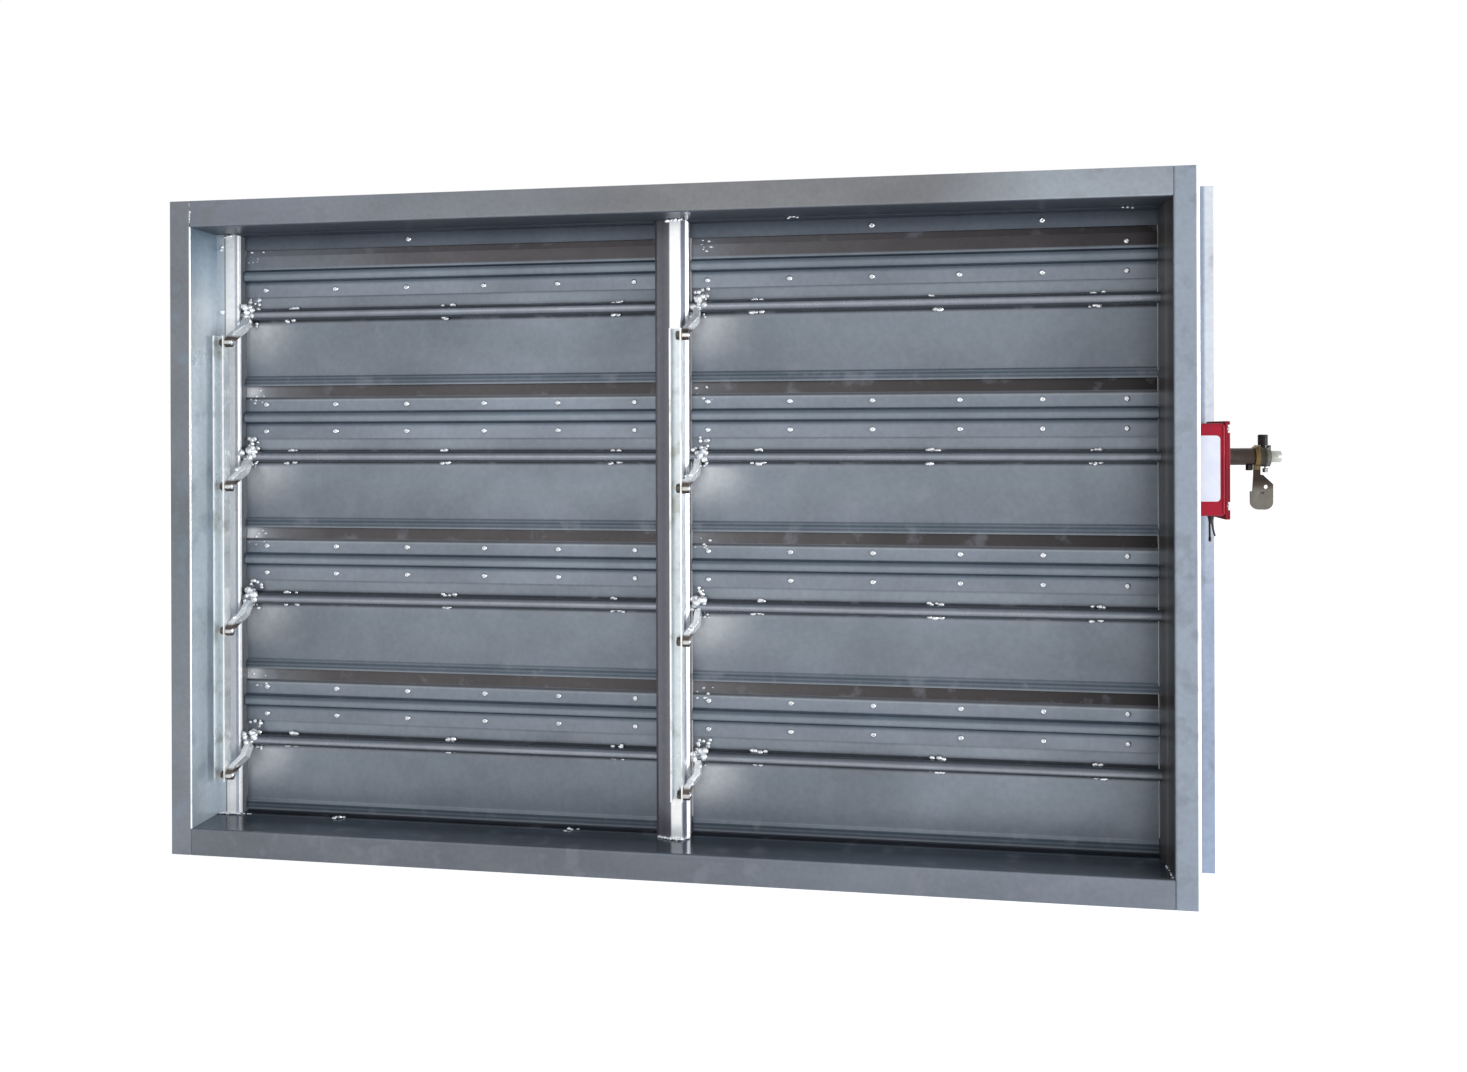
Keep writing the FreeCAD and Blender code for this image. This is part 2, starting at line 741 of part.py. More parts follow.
def make_lever_hub():
    """The clamp hub: round body, flat crown with a notch for the knob, and a cheek for the lever."""
    body = new_body("lever_hub")
    ring = new_sketch(body, "YZ_Plane")
    circle(ring, ("0", "0"), "Size.hub_diameter")
    pad(body, ring, "Size.hub_length")
    crown = new_sketch(body, "YZ_Plane", "Size.crown_inset")
    box_outline(crown, "-Size.crown_width / 2", "Size.crown_width / 2", "0", "Size.hub_crown")
    pad(body, crown, "Size.hub_length - Size.crown_inset")
    flat = new_sketch(body, "YZ_Plane", "Size.hub_length")
    floor = "-(Size.hub_diameter / 2 - Size.hub_flat)"
    box_outline(flat, "-Size.hub_diameter", "Size.hub_diameter", "-Size.hub_diameter", floor)
    cut(body, flat, "Size.hub_length - Size.cheek_length")
    cheek = new_sketch(body, "YZ_Plane")
    box_outline(cheek, "-Size.cheek_width / 2", "Size.cheek_width / 2", "-Size.cheek_drop", "0")
    pad(body, cheek, "Size.cheek_length")
    notch = new_sketch(body, "XZ_Plane", "-Size.crown_width / 2")
    floor = "Size.hub_crown - Size.crown_notch"
    outline(notch, [
        ("Size.knob_offset - Size.crown_notch", floor),
        ("Size.knob_offset + Size.crown_notch", floor),
        ("Size.knob_offset + 2 * Size.crown_notch", "Size.hub_crown"),
        ("Size.knob_offset - 2 * Size.crown_notch", "Size.hub_crown"),
    ])
    cut(body, notch, along_normal=True)
    bore = new_sketch(body, "YZ_Plane")
    circle(bore, ("0", "0"), "Size.shaft_diameter + 2 * Size.clamp_fit")
    cut(body, bore, along_normal=True)
    place(body, HUB_START, SHAFT_DEPTH, DRIVE_HEIGHT)


def make_lever_clamp_screw():
    """The black socket screw that stands in the notch of the hub's crown."""
    body = new_body("lever_clamp_screw")
    stem = new_sketch(body, "XY_Plane")
    circle(stem, ("0", "0"), "Size.knob_stem")
    pad(body, stem, "Size.crown_notch")
    head = new_sketch(body, "XY_Plane", "Size.crown_notch")
    circle(head, ("0", "0"), "Size.knob_diameter")
    pad(body, head, "Size.knob_height")
    socket = new_sketch(body, "XY_Plane", "Size.crown_notch + Size.knob_height")
    hexagon(socket, ("0", "0"), "Size.knob_socket")
    cut(body, socket, "Size.socket_depth")
    seat = f"{DRIVE_HEIGHT} + Size.hub_crown - Size.crown_notch"
    place(body, f"{HUB_START} + Size.knob_offset", SHAFT_DEPTH, seat)


def make_lever_bolt():
    """The bright clamp bolt that hangs from the flat under the hub's outer end."""
    body = new_body("lever_bolt")
    head = new_sketch(body, "XY_Plane", "-Size.lever_bolt_stem - Size.lever_bolt_head")
    hexagon(head, ("0", "0"), "Size.lever_bolt_flats")
    pad(body, head, "Size.lever_bolt_head")
    stem = new_sketch(body, "XY_Plane", "-Size.lever_bolt_stem")
    circle(stem, ("0", "0"), "Size.lever_bolt_diameter")
    pad(body, stem, "Size.lever_bolt_stem")
    start = f"{HUB_START} + Size.hub_length - Size.lever_bolt_inset"
    seat = f"{DRIVE_HEIGHT} - Size.hub_diameter / 2 + Size.hub_flat"
    place(body, start, SHAFT_DEPTH, seat)


def make_lever_handle():
    """The hand lever: a narrow neck under the hub's cheek and a wide plate with a hole and a slot."""
    left = "-Size.lever_overhang"
    right = "Size.lever_width - Size.lever_overhang"
    back = "-Size.lever_thickness / 2"
    body = new_body("lever_handle")
    shape = new_sketch(body, "XZ_Plane", back)
    outline(shape, [
        ("0", "-Size.cheek_drop"),
        ("Size.lever_neck", "-Size.cheek_drop"),
        ("Size.lever_neck", "-Size.lever_throat"),
        ("Size.lever_neck + Size.lever_step", "-Size.lever_throat"),
        (right, "-Size.lever_corner"),
        (right, "-Size.lever_end"),
        (left, "-Size.lever_end"),
        (left, "-Size.lever_shoulder"),
        (f"{left} + Size.lever_step", "-Size.lever_shoulder"),
        ("0", "-Size.lever_throat"),
    ])
    plate = pad(body, shape, "Size.lever_thickness")
    corners = [(left, "-Size.lever_end"), (right, "-Size.lever_end")]
    round_edges(body, plate, "y", corners, "Size.lever_round")
    thumb = new_sketch(body, "XZ_Plane", back)
    circle(thumb, (f"{right} - Size.thumb_hole_edge", "-Size.thumb_hole_drop"), "Size.thumb_hole")
    cut(body, thumb, along_normal=True)
    slot = new_sketch(body, "XZ_Plane", "Size.lever_thickness / 2")
    slot_end = f"{right} - Size.thumb_hole_edge - Size.thumb_hole / 2"
    slot_top = "-Size.thumb_slot_drop + Size.thumb_slot_width / 2"
    slot_low = "-Size.thumb_slot_drop - Size.thumb_slot_width / 2"
    box_outline(slot, f"{slot_end} - Size.thumb_slot_length", slot_end, slot_low, slot_top)
    cut(body, slot, "Size.thumb_slot_depth")
    place(body, HUB_START, SHAFT_DEPTH, DRIVE_HEIGHT)


def make_lead_grommet():
    """The grommet on the casing's underside that the leads come out of."""
    grommet = doc.addObject("Part::Cylinder", "lead_grommet")
    keep(grommet, "lead_grommet")
    grommet.setExpression("Radius", "Size.grommet_diameter / 2")
    grommet.setExpression("Height", "Size.grommet_length")
    place(grommet, LEAD_X, LEAD_Y, LEAD_START)


def lead_path(points):
    """Straight runs joined by tangent arcs, each arc as large as its two runs allow."""
    spots = [FreeCAD.Vector(*point) for point in points]
    edges = []
    start = spots[0]
    for before, corner, after in zip(spots, spots[1:], spots[2:]):
        back = before - corner
        ahead = after - corner
        turn = math.pi - back.getAngle(ahead)
        tangent = LEAD_ARC * min(back.Length, ahead.Length)
        radius = tangent / math.tan(turn / 2)
        print(f"lead arc radius {radius:.1f}")
        entry = corner + back.normalize() * tangent
        leave = corner + ahead.normalize() * tangent
        bisector = (back + ahead).normalize()
        middle = corner + bisector * (radius / math.cos(turn / 2) - radius)
        edges.append(Part.LineSegment(start, entry).toShape())
        edges.append(Part.Arc(entry, middle, leave).toShape())
        start = leave
    edges.append(Part.LineSegment(start, spots[-1]).toShape())
    return Part.Wire(edges)


def make_lead(label, points, side):
    """One short lead, hanging from the grommet."""
    path = lead_path(points)
    radius = value("Size.lead_diameter") / 2
    section = Part.Wire(Part.makeCircle(radius, FreeCAD.Vector(0, 0, 0), FreeCAD.Vector(*points[1])))
    tube = path.makePipeShell([section], True, False)
    plain_volume = math.pi * radius ** 2 * path.Length
    print(f"{label} length {path.Length:.2f}, volume over plain {tube.Volume / plain_volume:.4f}")
    start_x = f"{LEAD_X} + {side} * Size.lead_spacing / 2"
    spot = FreeCAD.Vector(value(start_x), value(LEAD_Y), value(LEAD_START))
    lead = doc.addObject("Part::Feature", label)
    lead.Shape = tube
    lead.Placement = FreeCAD.Placement(spot, FreeCAD.Rotation())
    keep(lead, label)


def make_frame():
    """The duct frame with its columns and stop strips."""
    make_jamb("left_jamb", -1, "Size.jamb_flange")
    right_jamb = make_jamb("right_jamb", 1, "Size.drive_flange")
    shaft_holes(right_jamb, "0", (SHAFT_DEPTH, ROW_HEIGHT[BOTTOM_ROW]))
    make_rail("top_rail", 1, LINTEL)
    make_rail("bottom_rail", -1, SILL)
    make_left_stile()
    make_centre_mullion()
    make_stop_strips()


def make_rows():
    """The blades, stiffeners, cranks and shafts of every row, and the links of each bay."""
    make_drive_shaft()
    for bay in BAYS:
        for row in ROWS:
            make_blade(bay, row)
            make_stiffener(bay, row)
            make_crank(bay, row)
            if row != DRIVE_ROW:
                make_shaft(bay, row)
        make_link_bar(bay)


def make_drive_unit():
    """The drive unit on the jamb, the manual lever and the leads."""
    make_actuator_base()
    make_actuator_casing()
    make_actuator_cover()
    make_output_sleeve()
    make_sleeve_set_screw()
    make_lever_hub()
    make_lever_clamp_screw()
    make_lever_bolt()
    make_lever_handle()
    make_lead_grommet()
    make_lead("lead_long", LONG_LEAD, -1)
    make_lead("lead_short", SHORT_LEAD, 1)


def check_document():
    """Stop if any object failed or any sub-part has no valid solid."""
    for item in doc.Objects:
        if "Invalid" in item.State or "Error" in item.State:
            raise RuntimeError(f"{item.Label} failed: {item.State}")
    for part in sub_parts:
        if part.Shape.isNull() or not part.Shape.isValid() or not part.Shape.Solids:
            raise RuntimeError(f"{part.Label} has no valid solid")


def export_parts():
    """Write one STEP file for each sub-part."""
    for part in sub_parts:
        part.Shape.exportStep(f"parts/{part.Label}.step")


fill_sheet()
make_frame()
make_rows()
make_drive_unit()
doc.recompute()
check_document()
export_parts()
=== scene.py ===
"""Smoke exhaust damper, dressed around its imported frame: sheet steel, welds, linkage and drive unit.

X runs along the shafts to the drive side, Y through the duct from front to back, Z up, in metres.
"""

import math

import bmesh
import bpy
import numpy as np
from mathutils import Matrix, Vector


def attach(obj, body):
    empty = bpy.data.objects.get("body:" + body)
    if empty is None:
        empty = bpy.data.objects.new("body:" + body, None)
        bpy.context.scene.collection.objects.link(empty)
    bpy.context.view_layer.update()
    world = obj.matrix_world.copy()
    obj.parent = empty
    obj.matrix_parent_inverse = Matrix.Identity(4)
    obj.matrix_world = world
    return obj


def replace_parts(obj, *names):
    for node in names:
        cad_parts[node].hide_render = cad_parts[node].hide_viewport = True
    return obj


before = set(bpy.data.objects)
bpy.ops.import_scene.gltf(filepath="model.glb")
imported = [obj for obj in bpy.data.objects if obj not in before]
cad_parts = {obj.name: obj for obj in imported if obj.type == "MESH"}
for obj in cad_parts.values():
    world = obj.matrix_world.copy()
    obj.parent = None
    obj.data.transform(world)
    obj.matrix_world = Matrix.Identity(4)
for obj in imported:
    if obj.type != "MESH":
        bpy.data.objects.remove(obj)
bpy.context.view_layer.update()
MM = 0.001


# The view of the photograph: the damper stands upright on its lower flange and is seen from the front,
# a little right of its middle and just above half its height, by a level camera turned to the left.
view = bpy.data.cameras.new("photo_view")
view.sensor_width = 36
view.lens = 26.83
view.shift_y = -0.0709
view.clip_start = 0.05
camera = bpy.data.objects.new("photo_camera", view)
camera.location = (0.2965, -1.3372, 0.5605)
camera.rotation_euler = (math.radians(90), math.radians(0.18), math.radians(8.15))
bpy.context.scene.collection.objects.link(camera)
bpy.context.scene.camera = camera
bpy.context.scene.view_settings.view_transform = "Standard"


# The two leads of the drive unit: thin black flexes, one cut short and bare, one in a crimped end
# sleeve. They come out of a tapered rubber boot under the casing and hang under their own weight.
LEAD_DIAMETER = 2.4 * MM
LEAD_TOP = (680.5, 55, 455.5)
LEAD_SPACING = 2.7
LEAD_ROUTES = {
    "long": (-1, 32.1, [(0, 0, 0), (0, 0, -11), (-3.6, -14, -27)]),
    "short": (1, 32.9, [(0, 0, 0), (0, 0, -11.5), (8, 17, -23.5)]),
}


def srgb(red, green, blue):
    """Linear colour of an 8-bit screen colour: (c/255 + 0.055)/1.055 to the power 2.4 above the toe."""
    share = np.array([red, green, blue]) / 255
    linear = np.where(share > 0.04045, ((share + 0.055) / 1.055) ** 2.4, share / 12.92)
    return (*linear, 1.0)


def add_node(tree, kind, inputs=None, **settings):
    """One node of a tree, with its settings made and its inputs wired or filled."""
    made = tree.nodes.new(kind)
    for key, setting in settings.items():
        setattr(made, key, setting)
    for key, source in (inputs or {}).items():
        if isinstance(source, bpy.types.NodeSocket):
            tree.links.new(source, made.inputs[key])
        else:
            made.inputs[key].default_value = source
    return made


def new_group(name, inputs, outputs):
    """An empty shader node group with named sockets; gives the tree, its inputs and its outputs."""
    tree = bpy.data.node_groups.new(name, "ShaderNodeTree")
    for label, kind, start in inputs:
        socket = tree.interface.new_socket(label, in_out="INPUT", socket_type=f"NodeSocket{kind}")
        if start is not None:
            socket.default_value = start
    for label, kind in outputs:
        tree.interface.new_socket(label, in_out="OUTPUT", socket_type=f"NodeSocket{kind}")
    return tree, tree.nodes.new("NodeGroupInput").outputs, tree.nodes.new("NodeGroupOutput").inputs


def make_mottle_group():
    """Soft patches: layered noise stretched between two limits, and a fine grain for the bump."""
    tree, given, put = new_group(
        "mottle",
        [("Vector", "Vector", None), ("Scale", "Float", 12.0), ("Low", "Float", 0.35),
         ("High", "Float", 0.65), ("Grain", "Float", 900.0)],
        [("Patch", "Float"), ("Grain", "Float")],
    )
    broad = add_node(tree, "ShaderNodeTexNoise", {
        "Vector": given["Vector"], "Scale": given["Scale"], "Detail": 5.0, "Roughness": 0.55,
    })
    stretched = add_node(tree, "ShaderNodeMapRange", {
        "Value": broad.outputs["Fac"], "From Min": given["Low"], "From Max": given["High"],
    })
    fine = add_node(tree, "ShaderNodeTexNoise", {
        "Vector": given["Vector"], "Scale": given["Grain"], "Detail": 2.0,
    })
    tree.links.new(stretched.outputs["Result"], put["Patch"])
    tree.links.new(fine.outputs["Fac"], put["Grain"])
    return tree


MOTTLE = make_mottle_group()


def start_material(name):
    """A node material with its Principled shader, ready to be wired."""
    material = bpy.data.materials.new(name)
    material.use_nodes = True
    return material, material.node_tree, material.node_tree.nodes["Principled BSDF"]


def mix_colours(tree, mask, under, over, blend="MIX"):
    """One colour laid over another through a mask."""
    made = add_node(tree, "ShaderNodeMix", data_type="RGBA", blend_type=blend)
    for socket, source in zip((made.inputs[0], made.inputs[6], made.inputs[7]), (mask, under, over)):
        if isinstance(source, bpy.types.NodeSocket):
            tree.links.new(source, socket)
        else:
            socket.default_value = source
    return made.outputs[2]


def group_outputs(tree, group, inputs):
    """The outputs of a node group placed in a tree."""
    made = tree.nodes.new("ShaderNodeGroup")
    made.node_tree = group
    for key, source in inputs.items():
        if isinstance(source, bpy.types.NodeSocket):
            tree.links.new(source, made.inputs[key])
        else:
            made.inputs[key].default_value = source
    return made.outputs


def mottled(tree, scale, low, high, stretch=(1, 1, 1), grain=900.0):
    """The mottle group on Object coordinates, stretched along the axes."""
    place = add_node(tree, "ShaderNodeTexCoord").outputs["Object"]
    spread = add_node(tree, "ShaderNodeMapping", {"Vector": place, "Scale": stretch})
    return group_outputs(tree, MOTTLE, {
        "Vector": spread.outputs["Vector"], "Scale": scale, "Low": low, "High": high, "Grain": grain,
    })


def plain_finish(name, base, patch, metallic=0.0, roughness=0.5, scale=60.0, bump=0.15, rough_spread=0.15):
    """A finish of one colour with patches of a second one, and roughness and grain that follow them."""
    material, tree, shader = start_material(name)
    marks = mottled(tree, scale, 0.4, 0.7)
    colour = mix_colours(tree, marks["Patch"], srgb(*base), srgb(*patch))
    tree.links.new(colour, shader.inputs["Base Color"])
    rough = add_node(tree, "ShaderNodeMapRange", {
        "Value": marks["Patch"], "To Min": roughness, "To Max": roughness + rough_spread,
    })
    tree.links.new(rough.outputs["Result"], shader.inputs["Roughness"])
    relief = add_node(tree, "ShaderNodeBump", {
        "Strength": bump, "Distance": 0.3 * MM, "Height": marks["Grain"],
    })
    tree.links.new(relief.outputs["Normal"], shader.inputs["Normal"])
    shader.inputs["Metallic"].default_value = metallic
    return material


RUBBER = plain_finish("black_rubber", (24, 23, 24), (38, 37, 39), roughness=0.55, scale=400.0)
CRIMP = plain_finish("lead_end_sleeve", (20, 20, 22), (34, 34, 37), roughness=0.4, scale=300.0)


def grid_faces(rings, around):
    """Faces of a grid of closed rings: each joins two neighbours of a ring to the same two of the next."""
    ring = np.arange(rings - 1)[:, None] * around
    here = np.arange(around)[None, :]
    ahead = (here + 1) % around
    corners = [ring + here, ring + ahead, ring + around + ahead, ring + around + here]
    return np.stack(corners, axis=-1).reshape(-1, 4)


def make_piece(name, shells, body, material, sharp=35):
    """A piece from shells of closed rings: its seams and poles are merged and its faces turned out."""
    points, faces, start = [], [], 0
    for shell in shells if isinstance(shells, list) else [shells]:
        rings, around = shell.shape[-3:-1]
        copies = shell.reshape(-1, rings * around, 3)
        offsets = start + np.arange(len(copies))[:, None, None] * rings * around
        faces.append((grid_faces(rings, around)[None] + offsets).reshape(-1, 4))
        points.append(copies.reshape(-1, 3))
        start += copies.size // 3
    mesh = bpy.data.meshes.new(name)
    mesh.from_pydata(np.concatenate(points), [], np.concatenate(faces))
    mended = bmesh.new()
    mended.from_mesh(mesh)
    bmesh.ops.remove_doubles(mended, verts=mended.verts, dist=1e-7)
    bmesh.ops.recalc_face_normals(mended, faces=mended.faces)
    mended.to_mesh(mesh)
    mended.free()
    mesh.shade_smooth()
    mesh.set_sharp_from_angle(angle=math.radians(sharp))
    return settle(bpy.data.objects.new(name, mesh), body, material)


def settle(piece, body, material):
    """Give a piece its finish, put it in the scene and let it ride on its body."""
    piece.data.materials.clear()
    piece.data.materials.append(material)
    bpy.context.scene.collection.objects.link(piece)
    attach(piece, body)
    return piece


def turned(profile, around=32, shape=None):
    """A profile of (radius, height) pairs turned about Z; shape(angle) scales the radius of each point."""
    radius, height = np.array(profile, float).T
    angle = np.linspace(0, 2 * np.pi, around, endpoint=False)
    scale = np.ones((len(radius), around)) if shape is None else shape(angle, height)
    spread = radius[:, None] * scale
    lift = np.broadcast_to(height[:, None], spread.shape)
    return np.stack([spread * np.cos(angle), spread * np.sin(angle), lift], axis=-1) * MM


def aimed(points, axis, origin):
    """Points that were made about Z, turned to a new axis and moved to an origin in millimetres."""
    turn = np.array(Vector((0, 0, 1)).rotation_difference(Vector(axis)).to_matrix())
    return points @ turn.T + np.array(origin) * MM


def make_lead(label):
    """One lead: a smooth curve through its route's control points, with a round bevel."""
    side, length, route = LEAD_ROUTES[label]
    start = np.array(LEAD_TOP, float) + (side * LEAD_SPACING / 2, 0, 0)
    spots = (start + np.array(route, float)) * MM
    curve = bpy.data.curves.new(f"{label}_lead", "CURVE")
    curve.dimensions = "3D"
    curve.bevel_depth = LEAD_DIAMETER / 2
    curve.bevel_resolution = 6
    curve.use_fill_caps = True
    line = curve.splines.new("NURBS")
    line.points.add(len(spots) - 1)
    line.points.foreach_set("co", np.column_stack([spots, np.ones(len(spots))]).ravel())
    line.order_u = 3
    line.use_endpoint_u = True
    line.resolution_u = 24
    lead = settle(bpy.data.objects.new(f"{label}_lead", curve), "frame", RUBBER)
    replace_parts(lead, f"lead_{label}")
    return lead, spots, length * MM


long_lead, spots, long_length = make_lead("long")
sleeve_axis = spots[-1] - spots[-2]
sleeve_axis /= np.linalg.norm(sleeve_axis)
end_sleeve = make_piece(
    "lead_end_sleeve",
    aimed(turned([(0, -5), (1.5, -5), (1.65, -4.6), (1.65, 0.2), (1.4, 0.6), (0, 0.6)], 24),
          sleeve_axis, spots[-1] / MM),
    "frame", CRIMP,
)
short_lead, spots, short_length = make_lead("short")


def boot_shape(angle, height):
    """Oval section that grows flatter downwards: the half axis across is smaller than the one along."""
    flat = np.interp(height, [447, 458.5], [0.55, 1.0])[:, None]
    return 1 / np.sqrt(np.cos(angle) ** 2 + (np.sin(angle) / flat) ** 2)


boot = make_piece(
    "lead_boot",
    turned([(0, 458.5), (4, 458.5), (4, 456), (3.4, 455.4), (3.2, 453.2), (2.9, 452.8), (2.8, 450.4),
            (2.6, 450), (2.5, 447.6), (2.2, 447), (0, 447)], 32, boot_shape)
    + np.array([LEAD_TOP[0], LEAD_TOP[1], 0]) * MM,
    "frame", RUBBER,
)
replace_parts(boot, "lead_grommet")


# The duct frame: two uprights and two cross members folded from galvanised sheet, their flanges turned
# away from the opening. The zinc is dull, cloudy and stained. Painted shade darkens it inside the top,
# the bottom and the drive side, and painted light brightens the left upright's web and the rails
# towards the drive side.
ROW_PITCH = 196
LOWEST_AXIS = 136.5


def source_of(tree, key):
    """A coordinate of the object by its letter, the height above the nearest shaft's axis, which is
    Z less the lowest axis and wrapped at the rows' pitch, or a point attribute by its name."""
    if key == "row_height":
        lifted = add_node(tree, "ShaderNodeMath", {
            0: source_of(tree, "Z"), 1: (LOWEST_AXIS - ROW_PITCH / 2) * MM,
        }, operation="SUBTRACT").outputs["Value"]
        wrapped = add_node(tree, "ShaderNodeMath", {
            0: lifted, 1: ROW_PITCH * MM,
        }, operation="FLOORED_MODULO")
        return add_node(tree, "ShaderNodeMath", {
            0: wrapped.outputs["Value"], 1: ROW_PITCH / 2 * MM,
        }, operation="SUBTRACT").outputs["Value"]
    if key in ("X", "Y", "Z"):
        place = add_node(tree, "ShaderNodeTexCoord").outputs["Object"]
        return add_node(tree, "ShaderNodeSeparateXYZ", {"Vector": place}).outputs[key]
    return add_node(tree, "ShaderNodeAttribute", attribute_name=key).outputs["Fac"]


def step_mask(tree, key, start, full):
    """0 before the start and 1 past the full end along a coordinate in millimetres, smooth between."""
    return add_node(tree, "ShaderNodeMapRange", {
        "Value": source_of(tree, key), "From Min": start * MM, "From Max": full * MM,
    }, interpolation_type="SMOOTHSTEP").outputs["Result"]


def ramp_colour(tree, key, stops):
    """Colour that runs through stops of (millimetre, screen colour) along a coordinate."""
    low, high = stops[0][0], stops[-1][0]
    share = add_node(tree, "ShaderNodeMapRange", {
        "Value": source_of(tree, key), "From Min": low * MM, "From Max": high * MM,
    })
    ramp = add_node(tree, "ShaderNodeValToRGB", {"Fac": share.outputs["Result"]})
    marks = ramp.color_ramp.elements
    for number, (spot, colour) in enumerate(stops):
        position = (spot - low) / (high - low)
        mark = marks[number] if number < 2 else marks.new(position)
        mark.position = position
        mark.color = srgb(*colour)
    return ramp.outputs["Color"]


def banded(key, stops, *overlays):
    """A paint: colours along a coordinate, with overlays in their order. An overlay is the coordinate
    of its mask, where it starts, where it is full, the coordinate of its own stops, and its stops."""
    def paint(tree):
        colour = ramp_colour(tree, key, stops)
        for mask_key, start, full, along, over in overlays:
            mask = step_mask(tree, mask_key, start, full)
            colour = mix_colours(tree, mask, colour, ramp_colour(tree, along, over))
        return colour
    return paint


def sheet_finish(name, paint, metallic=0.55, roughness=0.4, cloud=0.14, scale=9.0, stretch=(1, 1, 1),
                 stain=None, polish=None):
    """Galvanised sheet: paint(tree) gives its colour, clouds lighten and darken it, a stain may lie on
    it in patches, and past polish's (coordinate, start, full end) it has polish's own roughness."""
    material, tree, shader = start_material(name)
    colour = paint(tree)
    clouds = mottled(tree, scale, 0.3, 0.7, stretch)
    tint = add_node(tree, "ShaderNodeMapRange", {
        "Value": clouds["Patch"], "To Min": 1 - cloud, "To Max": 1 + cloud,
    })
    colour = mix_colours(tree, 1.0, colour, tint.outputs["Result"], "MULTIPLY")
    specks = mottled(tree, 150.0, 0.35, 0.65)
    fine = add_node(tree, "ShaderNodeMapRange", {"Value": specks["Patch"], "To Min": 0.95, "To Max": 1.05})
    colour = mix_colours(tree, 1.0, colour, fine.outputs["Result"], "MULTIPLY")
    if stain:
        shade, amount = stain
        spots = mottled(tree, 26.0, 0.56, 0.66)
        weak = add_node(tree, "ShaderNodeMath", {0: spots["Patch"], 1: amount}, operation="MULTIPLY")
        colour = mix_colours(tree, weak.outputs["Value"], colour, srgb(*shade))
    tree.links.new(colour, shader.inputs["Base Color"])
    rough = add_node(tree, "ShaderNodeMapRange", {
        "Value": clouds["Patch"], "To Min": roughness + 0.07, "To Max": roughness - 0.07,
    }).outputs["Result"]
    if polish:
        key, start, full, smooth = polish
        rough = add_node(tree, "ShaderNodeMapRange", {
            "Value": step_mask(tree, key, start, full), "To Min": rough, "To Max": smooth,
        }).outputs["Result"]
    tree.links.new(rough, shader.inputs["Roughness"])
    relief = add_node(tree, "ShaderNodeBump", {
        "Strength": 0.12, "Distance": 0.2 * MM, "Height": clouds["Grain"],
    })
    tree.links.new(relief.outputs["Normal"], shader.inputs["Normal"])
    shader.inputs["Metallic"].default_value = metallic
    return material


def dress(node, material):
    """Give a CAD node's own object a finish."""
    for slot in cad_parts[node].material_slots:
        slot.material = material


# The left upright: its flange is painted a little darker than the drive side's as painted shade, a painted
# highlight runs along the bend at the web, and the web is painted pale as painted light from the drive
# side, with painted shade towards the top rail.
LEFT_FLANGE = [(0, (124, 129, 138)), (130, (134, 140, 149)), (430, (118, 125, 132)),
               (700, (121, 126, 133)), (870, (127, 131, 138))]
LEFT_WEB = [(0, (182, 194, 204)), (35, (192, 204, 213)), (200, (206, 217, 226)), (450, (210, 221, 229)),
            (640, (212, 221, 228)), (730, (210, 219, 226)), (785, (176, 193, 206)),
            (835, (138, 158, 174))]
dress("left_jamb", sheet_finish("left_jamb_zinc", banded(
    "Z", LEFT_FLANGE,
    ("X", -626.8, -626.2, "Z", [(0, (250, 252, 254)), (870, (250, 252, 254))]),
    ("Y", 1.4, 2.2, "Z", LEFT_WEB),
    ("Z", 834, 836, "Z", LEFT_FLANGE),
    ("Z", 36, 34, "Z", LEFT_FLANGE),
), roughness=0.34, scale=7.0, stain=((128, 150, 168), 0.3)))
# The drive side's upright: its web is painted shade, darkest deep in the duct and less dark higher up. A
# painted highlight runs along its front flange's outer bend, and the outer part of the rear flange is paler
# towards the top.
dress("right_jamb", sheet_finish("right_jamb_zinc", banded(
    "Y", [(0, (140, 150, 162)), (3, (104, 106, 112)), (5.5, (64, 62, 64)), (20, (76, 74, 75)),
          (31, (96, 92, 90)), (37, (122, 117, 113)), (43, (88, 85, 84)), (60, (78, 76, 77)),
          (90, (62, 61, 63)), (120, (48, 47, 50))],
    ("Z", 380, 820, "Y", [(0, (150, 160, 172)), (3, (114, 115, 120)), (5.5, (84, 82, 84)),
                          (20, (100, 97, 98)), (31, (118, 113, 110)), (37, (138, 132, 127)),
                          (43, (110, 106, 104)), (60, (98, 95, 96)), (120, (58, 57, 60))]),
    ("X", 625.4, 626.6, "X", [
        (626, (142, 152, 165)), (650.2, (142, 152, 166)), (651, (250, 252, 255)),
        (655.5, (250, 252, 255)), (656, (150, 160, 172)), (684, (134, 142, 150)),
        (688, (150, 162, 184)), (697, (152, 168, 190)), (700, (138, 152, 160)), (702, (118, 126, 126)),
    ]),
    ("X", 689, 693, "Z", [(0, (150, 164, 186)), (330, (152, 165, 186)), (560, (204, 212, 223)),
                          (870, (214, 221, 230))]),
), scale=8.0, stretch=(1, 1, 0.6), stain=((96, 100, 106), 0.3)))
# The top rail: lighter towards the drive side as painted light, its lower web darker deeper in the duct as
# painted shade.
dress("top_rail", sheet_finish("top_rail_zinc", banded(
    "X", [(-625, (120, 126, 136)), (-400, (124, 130, 139)), (0, (122, 124, 128)), (350, (126, 128, 132)),
          (480, (150, 158, 167)), (625, (146, 153, 163))],
    ("Z", 836.9, 835.6, "Y", [(0, (104, 111, 123)), (20, (86, 93, 106)), (58, (70, 77, 89)),
                             (74, (44, 48, 58)), (120, (66, 72, 82))]),
), scale=5.0, stretch=(1, 1, 2.2), stain=((112, 112, 112), 0.3)))
